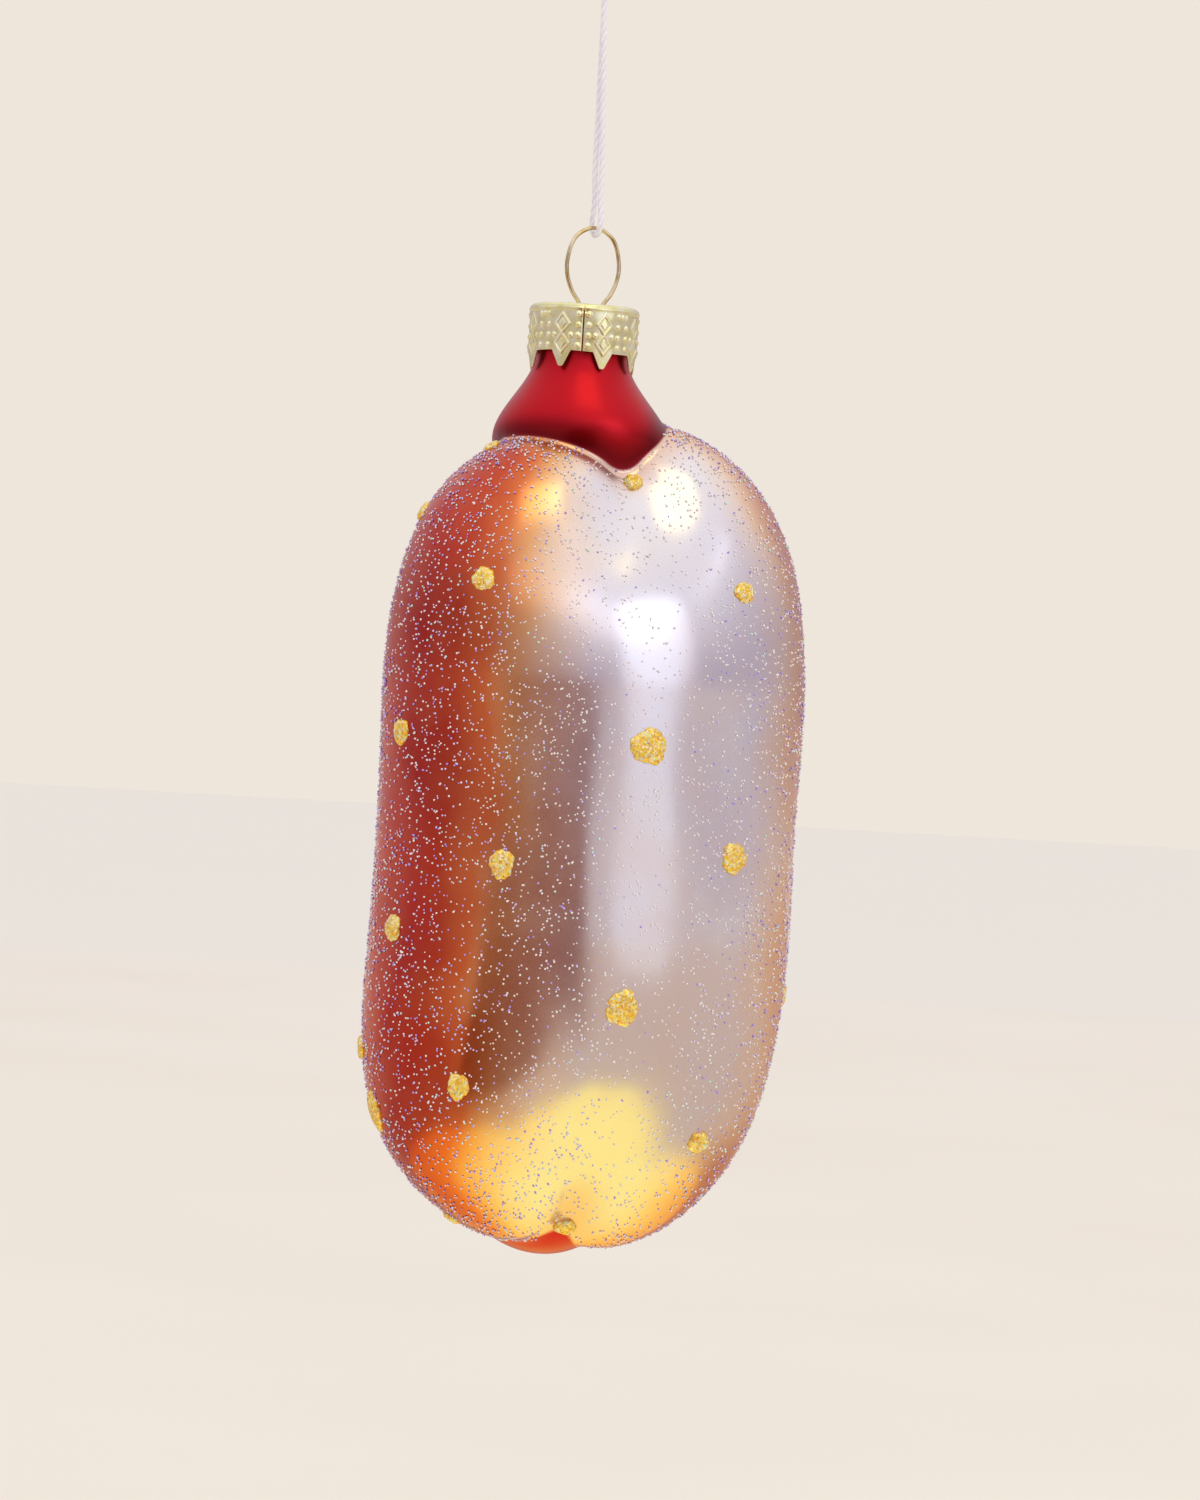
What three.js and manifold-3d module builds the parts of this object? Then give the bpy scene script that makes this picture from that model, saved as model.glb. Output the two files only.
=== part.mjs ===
// A hot dog ornament in blown glass, hung by its neck. The glass is one hollow shell: a red
// sausage in a split bun, drawn out into an open neck. Yellow seeds and a line of mustard in
// glitter glue stand on it. A crimped gold cap sits on the neck, a loop of spring wire goes
// through the cap and spreads inside the neck, and a white cord holds the loop.
// Millimetres, +Z up. The origin is the hanging point, inside the top of the cord's loop.
// The sausage faces -Y, and the back of the bun, where it hinges, faces +Y.
import * as THREE from 'three';
import * as BufferGeometryUtils from 'three/addons/utils/BufferGeometryUtils.js';
import Module from 'manifold-3d';

const wasm = await Module();
wasm.setup();

// Clearance between pieces that touch on the real object
const gap = 0.3;

// Bun. Heights are above the foot of the sausage, and X and Y are from the neck's axis.
const bunX = -3.4;
const bunY = 0.6;
const bunFoot = 2.4;
const bunTop = 98.5;
const bunFootRound = 31.5;
const bunTopRound = 26;
const bunBow = 1.1;
const farSideRise = 1.2;
const farSideDrop = 0.6;
const backSpacing = 18.4;
const backHalfWidth = 15.8;
const backDepth = 16;
const backFront = 10;
const lipSpacing = 27.8;
const lipHalfWidth = 11.3;
const lipDepth = 14;
const lipTopRound = 30;
const lipDrop = 1.2;
const coreHalfWidth = 24;
const coreDepth = 19.3;
const coreFront = 8;
const cleftFoot = 5.5;
const cleftTop = 4.6;
const lobesMeetAtFoot = 0.5;
const lobesMeetAtTop = 0.4;
const lobeBlend = 2.2;

// Sausage and neck
const sausageY = -4.6;
const sausageRadius = 10.8;
const creaseBlend = 0.9;
const neckRadius = 5.5;
const neckRise = 14.1;
const neckStraight = 5.2;
const shoulderLength = 10.5;
const bendLength = 24;
const bendDrop = 4.6;

// Glass
const glassWall = 1;
const glassTurns = 48;
const spineFoot = 24;
const spineDrop = 22.5;
const spineRise = 60;

// Seeds and mustard
const seedHeight = 0.5;
const seedSides = 10;
const lipSeedWide = 2.7;
const lipSeedLong = 3.2;
const lipSeedRows = 5;
const mustardWidth = 2.2;
const mustardHeight = 0.8;
const mustardSwing = 3.6;
const mustardWaves = 5;
const mustardFoot = 14;
const mustardDrop = 11.5;

// Cap
const capWall = 0.3;
const capSkirt = 5.7;
const capRim = 0.15;
const neckPlay = 0.8;
const toothCount = 8;
const toothLength = 1.9;
const toothWidth = 2.3;
const seamTurn = 68;

// Wire
const wireDiameter = 0.5;
const eyeOffset = -0.7;
const eyeRadius = 3.3;
const eyeRise = 4;
const eyeHeight = 9.5;
const legSpacing = 2.5;
const legSpread = 3.4;
const legLength = 21;

// Cord
const cordDiameter = 0.7;
const knotRadius = 1.3;
const knotHeight = 2.8;
const tailLength = 4.5;
const tailTilt = 18;

// The cord's route from the knot down one strand, round the wire and up the other
const cordRoute = [
  [0.2, 0.51, 0.3], [0.33, 0.88, -0.9], [0.31, 0.88, -1.8], [0.11, 0.54, -3.6],
  [-0.02, 0.53, -6], [-0.35, 0.55, -12], [-0.63, 0.54, -18], [-0.92, 0.5, -23], [-0.9, 0.6, -25.4],
  [-0.83, 0.9, -27], [-0.8, 1.25, -28.3], [-0.8, 1.38, -29.27], [-0.8, 0.98, -30.25], [-0.8, 0, -30.65],
  [-0.8, -0.98, -30.25], [-0.8, -1.38, -29.27], [-0.8, -1.25, -28.3], [-0.77, -0.9, -27],
  [-0.6, -0.6, -25.4], [-0.44, -0.5, -23], [-0.43, -0.54, -18], [-0.37, -0.55, -12],
  [-0.34, -0.53, -6], [-0.33, -0.54, -3.6], [-0.41, -0.88, -1.8], [-0.39, -0.88, -0.9],
  [-0.2, -0.51, 0.3],
].map(([x, y, z]) => new THREE.Vector3(x, y, z));

// Places that follow from the sizes. In the glass: the neck rises from the bun's top, and the
// spine ends where the bun's top rounds over.
const neckTop = bunTop + neckRise;
const shoulderTo = neckTop - neckStraight;
const shoulderFrom = shoulderTo - shoulderLength;
const neckBendTo = neckTop - bendDrop;
const neckBendFrom = neckBendTo - bendLength;
const spineTop = bunTop - spineDrop;
const mustardTop = bunTop - mustardDrop;

// The wire lies in the cord's bight, the cap hangs from the wire's eye, and the glass rim
// comes up to the cap's disc.
const bightFoot = Math.min(...cordRoute.map((point) => point.z));
const wireTop = bightFoot + cordDiameter / 2 + gap + wireDiameter / 2;
const capTop = wireTop - eyeHeight;
const glassFoot = capTop - capWall - gap - neckTop;

const glassMaterial = new THREE.MeshStandardMaterial({ color: 0xb8562c, roughness: 0.25, metalness: 0.6 });
const glueMaterial = new THREE.MeshStandardMaterial({ color: 0xf2c230, roughness: 0.6, metalness: 0.1 });
const capMaterial = new THREE.MeshStandardMaterial({ color: 0xd8c882, roughness: 0.3, metalness: 1 });
const wireMaterial = new THREE.MeshStandardMaterial({ color: 0xb4925a, roughness: 0.25, metalness: 1 });
const cordMaterial = new THREE.MeshStandardMaterial({ color: 0xebe6f5, roughness: 0.8, metalness: 0 });

// Adds a named mesh to a group.
function add(group, name, geometry, material) {
  const mesh = new THREE.Mesh(geometry, material);
  mesh.name = name;
  group.add(mesh);
}

// A closed solid from rings of points. Each ring goes round anticlockwise seen from the next
// one, and the first and last rings are single points.
function ringSolid(rings) {
  const positions = [];
  const triangles = [];
  const starts = rings.map((ring) => {
    const start = positions.length / 3;
    ring.forEach((point) => positions.push(point.x, point.y, point.z));
    return start;
  });
  for (let row = 0; row + 1 < rings.length; row += 1) {
    const lower = rings[row].length;
    const upper = rings[row + 1].length;
    for (let i = 0; i < Math.max(lower, upper); i += 1) {
      const a = starts[row] + (i % lower);
      const b = starts[row] + ((i + 1) % lower);
      const c = starts[row + 1] + ((i + 1) % upper);
      const d = starts[row + 1] + (i % upper);
      if (lower > 1) {
        triangles.push(a, b, c);
      }
      if (upper > 1) {
        triangles.push(a, c, d);
      }
    }
  }
  const geometry = new THREE.BufferGeometry();
  geometry.setAttribute('position', new THREE.Float32BufferAttribute(positions, 3));
  geometry.setIndex(triangles);
  return geometry;
}

// A round bar along a curve.
function bar(curve, diameter, steps) {
  const section = new THREE.Shape();
  for (let i = 0; i < 8; i += 1) {
    const angle = (i / 8) * 2 * Math.PI;
    const x = (diameter / 2) * Math.cos(angle);
    const y = (diameter / 2) * Math.sin(angle);
    if (i === 0) {
      section.moveTo(x, y);
    } else {
      section.lineTo(x, y);
    }
  }
  return new THREE.ExtrudeGeometry(section, { steps, extrudePath: curve });
}

// A solid for cutting and joining, and the geometry of the result.
function toSolid(geometry) {
  const plain = geometry.clone();
  plain.deleteAttribute('normal');
  plain.deleteAttribute('uv');
  const merged = BufferGeometryUtils.mergeVertices(plain);
  const vertProperties = new Float32Array(merged.attributes.position.array);
  const triVerts = new Uint32Array(merged.index.array);
  return new wasm.Manifold(new wasm.Mesh({ numProp: 3, vertProperties, triVerts }));
}

function toGeometry(solid) {
  const { vertProperties, triVerts } = solid.getMesh();
  const geometry = new THREE.BufferGeometry();
  geometry.setAttribute('position', new THREE.BufferAttribute(vertProperties, 3));
  geometry.setIndex(new THREE.BufferAttribute(triVerts, 1));
  return geometry;
}

// Shape of the glass. Each function below is less than 0 inside the form, and near the
// surface it grows by about 1 for each millimetre outwards.

// Eases from 0 to 1 as x goes from a to b.
function ease(a, b, x) {
  return THREE.MathUtils.smoothstep(x, a, b);
}

// The smaller of two values, rounded where they meet.
function blendMin(a, b, blend) {
  const overlap = Math.max(blend - Math.abs(a - b), 0) / blend;
  return Math.min(a, b) - (overlap * overlap * blend) / 4;
}

// An upright lobe of elliptical section, with a long rounded foot and top.
function lobe(x, y, z, form) {
  const below = Math.max(form.foot + bunFootRound - z, 0) / bunFootRound;
  const above = Math.max(z - form.top + form.topRound, 0) / form.topRound;
  const end = below + above;
  const endLength = below > 0 ? bunFootRound : form.topRound;
  const meet = below > 0 ? lobesMeetAtFoot : lobesMeetAtTop;
  const centre = form.centre * (1 - meet * Math.min(end, 1.2) ** 4);
  const depth = y > 0 ? form.back : form.front;
  const along = (x - centre) / form.halfWidth;
  const across = y / depth;
  const reach = Math.hypot(along, across, end) + 1e-9;
  const slope = Math.hypot(along / form.halfWidth, across / depth, end / endLength) + 1e-9;
  return ((reach - 1) * reach) / slope;
}

const backForm = {
  centre: backSpacing / 2, halfWidth: backHalfWidth, back: backDepth, front: backFront,
  foot: bunFoot, top: bunTop, topRound: bunTopRound,
};
const lipForm = {
  centre: lipSpacing / 2, halfWidth: lipHalfWidth, back: lipDepth, front: lipDepth,
  foot: bunFoot, top: bunTop - lipDrop, topRound: lipTopRound,
};
const coreForm = {
  centre: 0, halfWidth: coreHalfWidth, back: coreDepth, front: coreFront,
  foot: bunFoot + cleftFoot, top: bunTop - cleftTop, topRound: bunTopRound,
};

// The lobes on the bun's far side, at -X, reach a little further at both ends.
function farSide(form) {
  return { ...form, foot: form.foot - farSideDrop, top: form.top + farSideRise };
}
const farBackForm = farSide(backForm);
const farLipForm = farSide(lipForm);

// How far the bun's middle line stands off straight at a height, because the bun bows a little.
function bow(z) {
  return bunBow * (0.5 - ease(14, 46, z) + 0.4 * ease(56, 84, z));
}

// The bun: two back lobes with a full core between them, and a lip each side of the sausage.
function bunShape(x, y, z) {
  const right = x - bunX - bow(z);
  const back = y - bunY;
  const backs = blendMin(lobe(right, back, z, backForm), lobe(-right, back, z, farBackForm), lobeBlend);
  const joined = blendMin(backs, lobe(right, back, z, coreForm), lobeBlend);
  const lips = Math.min(lobe(right, back, z, lipForm), lobe(-right, back, z, farLipForm));
  return blendMin(joined, lips, lobeBlend);
}

// How far the neck's bend has carried the axis over to the bun: 1 in the bun, 0 at the rim.
function neckBend(z) {
  return 1 - ease(neckBendFrom, neckBendTo, z);
}

// The sausage: a round-ended bar whose top narrows through a shoulder into the neck.
function sausageShape(x, y, z) {
  const bend = neckBend(z);
  const off = Math.hypot(x - bunX * bend, y - sausageY * bend);
  const radius = THREE.MathUtils.lerp(sausageRadius, neckRadius, ease(shoulderFrom, shoulderTo, z));
  return Math.hypot(off, Math.max(sausageRadius - z, 0)) - radius;
}

function glassShape(x, y, z) {
  return blendMin(bunShape(x, y, z), sausageShape(x, y, z), creaseBlend);
}

// The point of the skin that a ray meets. The ray starts on the spine at a height, and goes
// out at a turn about it and a rise above level, in degrees. depth is how far inside it stops.
function skinPoint({ height, rise }, turn, depth) {
  const bend = neckBend(height);
  const start = new THREE.Vector3(bunX * bend, 0, height);
  const level = Math.cos(THREE.MathUtils.degToRad(rise));
  const direction = new THREE.Vector3(
    level * Math.cos(THREE.MathUtils.degToRad(turn)),
    level * Math.sin(THREE.MathUtils.degToRad(turn)),
    Math.sin(THREE.MathUtils.degToRad(rise)),
  );
  let near = 0;
  let far = bunTop;
  for (let halving = 0; halving < 32; halving += 1) {
    const middle = (near + far) / 2;
    const point = direction.clone().multiplyScalar(middle).add(start);
    if (glassShape(point.x, point.y, point.z) + depth < 0) {
      near = middle;
    } else {
      far = middle;
    }
  }
  return direction.multiplyScalar(far).add(start);
}

// The way out of the glass at a point, as the slope of its shape.
function outward({ x, y, z }) {
  const step = 0.05;
  return new THREE.Vector3(
    glassShape(x + step, y, z) - glassShape(x - step, y, z),
    glassShape(x, y + step, z) - glassShape(x, y - step, z),
    glassShape(x, y, z + step) - glassShape(x, y, z - step),
  ).normalize();
}

// Moves a point along the way out until it stands at a height above the skin.
function settle(point, height) {
  const settled = point.clone();
  for (let pass = 0; pass < 8; pass += 1) {
    const error = glassShape(settled.x, settled.y, settled.z) - height;
    settled.addScaledVector(outward(settled), -error);
  }
  return settled;
}

// Ray starts from the foot, up the side and over the shoulder to the rim of the neck.
function rayRows(footRows, sideRows, topRows, neckRows) {
  const rows = [];
  for (let i = 0; i < footRows; i += 1) {
    rows.push({ height: spineFoot, rise: -90 * (1 - i / footRows) });
  }
  for (let i = 0; i < sideRows; i += 1) {
    rows.push({ height: THREE.MathUtils.lerp(spineFoot, spineTop, i / sideRows), rise: 0 });
  }
  for (let i = 0; i < topRows; i += 1) {
    rows.push({ height: spineTop, rise: (spineRise * i) / topRows });
  }
  for (let i = 0; i <= neckRows; i += 1) {
    const climbed = i / neckRows;
    rows.push({
      height: THREE.MathUtils.lerp(spineTop, neckTop, climbed),
      rise: spineRise * (1 - climbed ** 1.6),
    });
  }
  return rows;
}

// The rings of the skin from its lowest point up to the rim.
function skinRings(rows, depth) {
  return rows.map((row, index) => {
    if (index === 0) {
      return [skinPoint(row, 0, depth)];
    }
    const ring = [];
    for (let i = 0; i < glassTurns; i += 1) {
      ring.push(skinPoint(row, (360 * i) / glassTurns, depth));
    }
    return ring;
  });
}

// The blown shell: the outer skin up to the rim, and the inner skin back down.
function glassBody() {
  const outer = skinRings(rayRows(12, 9, 13, 13), 0);
  const inner = skinRings(rayRows(6, 4, 6, 7), glassWall);
  return ringSolid([...outer, ...inner.reverse()]);
}

// A seed of glitter glue: a low dome that follows the skin, a little out of round. Its ray
// starts on the spine, at a climb from 0 at the spine's foot to 1 at its top.
function seed({ turn, climb, rise, wide, long }) {
  const height = THREE.MathUtils.lerp(spineFoot, spineTop, climb);
  const middle = skinPoint({ height, rise }, turn, 0);
  const out = outward(middle);
  const side = new THREE.Vector3(0, 0, 1).cross(out).normalize();
  const up = out.clone().cross(side);
  const ring = (share, lift) => {
    const points = [];
    for (let i = 0; i < seedSides; i += 1) {
      const angle = (i / seedSides) * 2 * Math.PI;
      const uneven = 1 + 0.08 * Math.sin(3 * angle + turn + height);
      const point = middle.clone();
      point.addScaledVector(side, (share * uneven * wide * Math.cos(angle)) / 2);
      point.addScaledVector(up, (share * uneven * long * Math.sin(angle)) / 2);
      points.push(settle(point, gap + lift));
    }
    return points;
  };
  return ringSolid([
    [settle(middle, gap)],
    ring(0.92, 0),
    ring(1, 0.4 * seedHeight),
    ring(0.6, 0.9 * seedHeight),
    [settle(middle, gap + seedHeight)],
  ]);
}

// Seeds on the back and sides of the bun, from the neck down
const bunSeeds = [
  { turn: 2, climb: 1, rise: 54, wide: 2.6, long: 2.2 },
  { turn: 93, climb: 1, rise: 61, wide: 2.4, long: 2.3 },
  { turn: -5, climb: 1, rise: 28, wide: 2.6, long: 2.4 },
  { turn: 34, climb: 1, rise: 9, wide: 2.8, long: 2.9 },
  { turn: 128, climb: 1, rise: 11.5, wide: 2.9, long: 2.6 },
  { turn: 10, climb: 0.72, rise: 0, wide: 2.8, long: 3.1 },
  { turn: 90, climb: 0.72, rise: 0, wide: 4.6, long: 4.3 },
  { turn: 45, climb: 0.44, rise: 0, wide: 2.9, long: 3.6 },
  { turn: 126, climb: 0.48, rise: 0, wide: 3.8, long: 3.8 },
  { turn: 12, climb: 0.28, rise: 0, wide: 2.8, long: 3.3 },
  { turn: 87, climb: 0.135, rise: 0, wide: 4, long: 4.5 },
  { turn: -8, climb: 0, rise: 0, wide: 2.8, long: 2.9 },
  { turn: 35, climb: 0, rise: -8, wide: 2.6, long: 3.3 },
  { turn: 0, climb: 0, rise: -17, wide: 3, long: 5.2 },
  { turn: 133, climb: 0, rise: -26, wide: 2.9, long: 2.8 },
  { turn: -1, climb: 0, rise: -56, wide: 3, long: 2.2 },
  { turn: 84, climb: 0, rise: -78, wide: 2.8, long: 2.2 },
];

// More seeds in two staggered rows round each lip, on the side away from the hinge
function lipSeeds() {
  const seeds = [];
  const plain = { rise: 0, wide: lipSeedWide, long: lipSeedLong };
  for (let row = 0; row < lipSeedRows; row += 1) {
    const climb = row / (lipSeedRows - 1);
    seeds.push({ ...plain, turn: row % 2 === 0 ? 322 : 338, climb });
    seeds.push({ ...plain, turn: row % 2 === 0 ? 198 : 216, climb });
  }
  seeds.push({ ...plain, turn: 172, climb: 0.83 });
  seeds.push({ ...plain, turn: 170, climb: 0.17 });
  return seeds;
}

// The line of mustard: a low bead laid in waves down the front of the sausage.
function mustardLine() {
  const stations = 100;
  const middleAt = (share) => {
    const height = THREE.MathUtils.lerp(mustardFoot, mustardTop, share);
    const bend = neckBend(height);
    const sideways = mustardSwing * Math.sin(share * mustardWaves * 2 * Math.PI);
    const angle = -Math.PI / 2 + sideways / sausageRadius;
    return settle(new THREE.Vector3(
      bunX * bend + sausageRadius * Math.cos(angle),
      sausageY * bend + sausageRadius * Math.sin(angle),
      height,
    ), gap);
  };
  const section = [[-1, 0], [1, 0], [0.85, 0.65], [0.35, 1], [-0.35, 1], [-0.85, 0.65]];
  const rings = [];
  for (let i = 0; i <= stations; i += 1) {
    const share = i / stations;
    const middle = middleAt(share);
    const along = middleAt(share + 0.001).sub(middleAt(share - 0.001)).normalize();
    const out = outward(middle);
    const side = out.clone().cross(along).negate();
    const full = Math.min(1, 0.6 + Math.min(i, stations - i) / 4);
    rings.push(section.map(([across, high]) => settle(
      middle.clone().addScaledVector(side, -(full * across * mustardWidth) / 2),
      gap + full * high * mustardHeight,
    )));
  }
  const first = settle(middleAt(-0.006), gap + mustardHeight / 4);
  const last = settle(middleAt(1.006), gap + mustardHeight / 4);
  return ringSolid([[first], ...rings, [last]]);
}

// The cap: a disc with a turned rim and a skirt cut into teeth, split at its seam, with two
// holes for the wire.
function capSolid() {
  const inside = neckRadius + neckPlay;
  const outside = inside + capWall;
  const tip = -capSkirt - toothLength;
  const profile = [
    [0, -capWall], [inside, -capWall], [inside, tip], [outside, tip], [outside, -3 * capWall],
    [outside + capRim, -2 * capWall], [outside, -capWall / 2], [inside, 0], [0, 0],
  ].map(([radius, height]) => new THREE.Vector2(radius, height));
  const blank = new THREE.LatheGeometry(profile, toothCount * 8);
  blank.rotateX(Math.PI / 2);
  let cap = toSolid(blank);

  const pitch = (2 * Math.PI * outside) / toothCount;
  const notchShape = new THREE.Shape();
  notchShape.moveTo(-(pitch - toothWidth) / 2, -capSkirt);
  notchShape.lineTo(-pitch / 2, tip);
  notchShape.lineTo(-pitch / 2, tip - 1);
  notchShape.lineTo(pitch / 2, tip - 1);
  notchShape.lineTo(pitch / 2, tip);
  notchShape.lineTo((pitch - toothWidth) / 2, -capSkirt);
  for (let i = 0; i < toothCount; i += 1) {
    const notch = new THREE.ExtrudeGeometry(notchShape, { depth: neckRadius, bevelEnabled: false });
    notch.rotateX(Math.PI / 2);
    notch.translate(0, -neckRadius, 0);
    notch.rotateZ(THREE.MathUtils.degToRad(seamTurn + 90 + (360 * i) / toothCount));
    cap = cap.subtract(toSolid(notch));
  }

  const seam = new THREE.BoxGeometry(neckRadius, gap, capSkirt);
  seam.translate(outside, 0, -capSkirt / 2 - 3 * capWall);
  seam.rotateZ(THREE.MathUtils.degToRad(seamTurn));
  cap = cap.subtract(toSolid(seam));

  for (const side of [-1, 1]) {
    const hole = new THREE.CylinderGeometry(wireDiameter / 2 + gap, wireDiameter / 2 + gap, 4, 16);
    hole.rotateX(Math.PI / 2);
    hole.translate(eyeOffset + (side * legSpacing) / 2, 0, 0);
    cap = cap.subtract(toSolid(hole));
  }
  return toGeometry(cap);
}

// The spring wire: one leg up through the cap, round the eye and down the other leg. The eye
// and the holes stand a little off the cap's middle.
function hangerWire() {
  const arcMiddle = eyeHeight - eyeRise;
  const place = (x, z) => new THREE.Vector3(z < -capWall ? x : x + eyeOffset, 0, z);
  const half = [
    [legSpread, -legLength],
    [(legSpread + legSpacing / 2) / 2, -legLength / 2],
    [legSpacing / 2, -capWall],
    [0.76 * eyeRadius, arcMiddle / 3],
    [0.96 * eyeRadius, 0.63 * arcMiddle],
    [eyeRadius, arcMiddle],
    [eyeRadius * Math.SQRT1_2, arcMiddle + eyeRise * Math.SQRT1_2],
  ];
  const points = half.map(([x, z]) => place(x, z));
  points.push(place(0, eyeHeight));
  half.reverse().forEach(([x, z]) => points.push(place(-x, z)));
  return bar(new THREE.CatmullRomCurve3(points, false, 'centripetal'), wireDiameter, 96);
}

// The knot that ties the cord's ends, with the two tails that stand out of it.
function cordKnot() {
  const foot = cordRoute[0].z + gap;
  const profile = [
    [0, 0], [0.75, 0.12], [1, 0.4], [0.85, 0.8], [0.45, 1], [0, 1],
  ].map(([share, climbed]) => new THREE.Vector2(share * knotRadius, foot + climbed * knotHeight));
  const body = new THREE.LatheGeometry(profile, 14);
  body.rotateX(Math.PI / 2);
  let knot = toSolid(body);
  for (const side of [-1, 1]) {
    const tail = new THREE.CylinderGeometry(cordDiameter / 2, cordDiameter / 2, tailLength, 8);
    tail.rotateX(Math.PI / 2);
    tail.translate(0, 0, tailLength / 2);
    tail.rotateX(THREE.MathUtils.degToRad(side * tailTilt));
    tail.translate(0, 0, foot + 0.7 * knotHeight);
    knot = knot.add(toSolid(tail));
  }
  return toGeometry(knot);
}

const cord = new THREE.Group();
add(cord, 'cord_knot', cordKnot(), cordMaterial);
add(cord, 'hanging_cord', bar(new THREE.CatmullRomCurve3(cordRoute), cordDiameter, 80), cordMaterial);

const hanger = new THREE.Group();
hanger.position.z = capTop;
add(hanger, 'hanger_wire', hangerWire(), wireMaterial);
add(hanger, 'cap', capSolid(), capMaterial);

const glass = new THREE.Group();
glass.position.z = glassFoot;
add(glass, 'glass_body', glassBody(), glassMaterial);
add(glass, 'mustard_line', mustardLine(), glueMaterial);
[...bunSeeds, ...lipSeeds()].forEach((form, index) => {
  add(glass, `seed_${String(index + 1).padStart(2, '0')}`, seed(form), glueMaterial);
});

const ornament = new THREE.Group();
ornament.add(cord, hanger, glass);
export default ornament;
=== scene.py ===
import math

import bpy
import numpy as np
from mathutils import Matrix, Vector
from mathutils.geometry import delaunay_2d_cdt


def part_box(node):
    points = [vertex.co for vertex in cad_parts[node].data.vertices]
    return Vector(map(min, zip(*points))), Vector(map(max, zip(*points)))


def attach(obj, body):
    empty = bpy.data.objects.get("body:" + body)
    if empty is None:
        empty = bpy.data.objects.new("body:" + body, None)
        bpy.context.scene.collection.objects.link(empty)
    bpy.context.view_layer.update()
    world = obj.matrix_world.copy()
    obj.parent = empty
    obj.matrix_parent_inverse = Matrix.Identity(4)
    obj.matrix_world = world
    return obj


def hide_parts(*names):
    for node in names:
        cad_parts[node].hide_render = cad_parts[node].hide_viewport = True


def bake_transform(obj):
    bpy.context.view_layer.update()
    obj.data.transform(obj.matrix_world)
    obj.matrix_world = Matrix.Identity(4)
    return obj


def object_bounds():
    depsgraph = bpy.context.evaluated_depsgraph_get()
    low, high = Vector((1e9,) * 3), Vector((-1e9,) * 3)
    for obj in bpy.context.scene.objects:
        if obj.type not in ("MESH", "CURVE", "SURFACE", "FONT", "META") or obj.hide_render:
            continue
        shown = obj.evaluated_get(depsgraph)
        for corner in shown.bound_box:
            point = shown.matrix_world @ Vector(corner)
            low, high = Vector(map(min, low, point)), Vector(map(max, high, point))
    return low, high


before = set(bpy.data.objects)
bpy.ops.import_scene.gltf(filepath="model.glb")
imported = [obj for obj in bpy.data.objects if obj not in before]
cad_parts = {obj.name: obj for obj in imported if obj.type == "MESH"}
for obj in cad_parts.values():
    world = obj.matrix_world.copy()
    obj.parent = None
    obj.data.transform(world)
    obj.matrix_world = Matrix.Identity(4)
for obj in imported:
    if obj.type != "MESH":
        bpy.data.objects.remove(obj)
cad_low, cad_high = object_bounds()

# Camera. It looks level at the hinge side of the bun, 22 degrees round from square on, and is
# rolled so that the ornament leans to the right at its top.
mm = 0.001
view_turn = math.radians(158)
view_roll = math.radians(3.5)
view_distance = 600 * mm
view_lens = 121
aim_below_cap_top = 53 * mm
aim_right = 5.02 * mm
aim_up = 0.19 * mm

upright = Vector((0, 0, 1))
level_right = Vector((math.cos(view_turn), math.sin(view_turn), 0))
backward = Vector((math.sin(view_turn), -math.cos(view_turn), 0))
view_right = level_right * math.cos(view_roll) + upright * math.sin(view_roll)
view_up = backward.cross(view_right)
cap_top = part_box("cap")[1].z
aim = upright * (cap_top - aim_below_cap_top) + view_right * aim_right + view_up * aim_up

camera_data = bpy.data.cameras.new("camera")
camera_data.lens = view_lens
camera = bpy.data.objects.new("camera", camera_data)
camera.matrix_world = Matrix((view_right, view_up, backward)).transposed().to_4x4()
camera.location = aim + backward * view_distance
bpy.context.scene.collection.objects.link(camera)
bpy.context.scene.camera = camera


# Cord. A white cord laid from three plies, doubled through the wire's eye. Its ends are tied
# in a knot just above the view, and the loop under the knot goes over a hook or a twig.
cord_diameter = 0.7 * mm
cord_plies = 3
cord_lay = 3.5 * mm
ply_groove = 0.34
cord_sides = 24
cord_spacing = 0.1 * mm
steps_between = 40
cord_white = (0.93, 0.91, 0.97, 1)
cord_worn = (0.97, 0.96, 0.99, 1)
# The darker lilac is painted shade down in the grooves between the plies.
cord_groove_shade = (0.70, 0.66, 0.80, 1)
cord_route = mm * np.array([
    (0.2, 0.51, 0.3), (0.33, 0.88, -0.9), (0.31, 0.88, -1.8), (0.11, 0.54, -3.6),
    (-0.02, 0.53, -6), (-0.35, 0.55, -12), (-0.63, 0.54, -18), (-0.92, 0.5, -23), (-0.9, 0.6, -25.4),
    (-0.83, 0.9, -27), (-0.8, 1.25, -28.3), (-0.8, 1.38, -29.27), (-0.8, 0.98, -30.25), (-0.8, 0, -30.65),
    (-0.8, -0.98, -30.25), (-0.8, -1.38, -29.27), (-0.8, -1.25, -28.3), (-0.77, -0.9, -27),
    (-0.6, -0.6, -25.4), (-0.44, -0.5, -23), (-0.43, -0.54, -18), (-0.37, -0.55, -12),
    (-0.34, -0.53, -6), (-0.33, -0.54, -3.6), (-0.41, -0.88, -1.8), (-0.39, -0.88, -0.9),
    (-0.2, -0.51, 0.3),
])


def length_along(path):
    """How far each point of a path is from its start, along the path."""
    steps = np.linalg.norm(np.diff(path, axis=0), axis=1)
    return np.concatenate([[0], np.cumsum(steps)])


def unit(vectors):
    """Vectors brought to a length of 1."""
    return vectors / np.linalg.norm(vectors, axis=-1, keepdims=True)


def full_turn(count):
    """Even steps of turn, once round."""
    return np.linspace(0, 2 * np.pi, count, endpoint=False)


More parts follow.
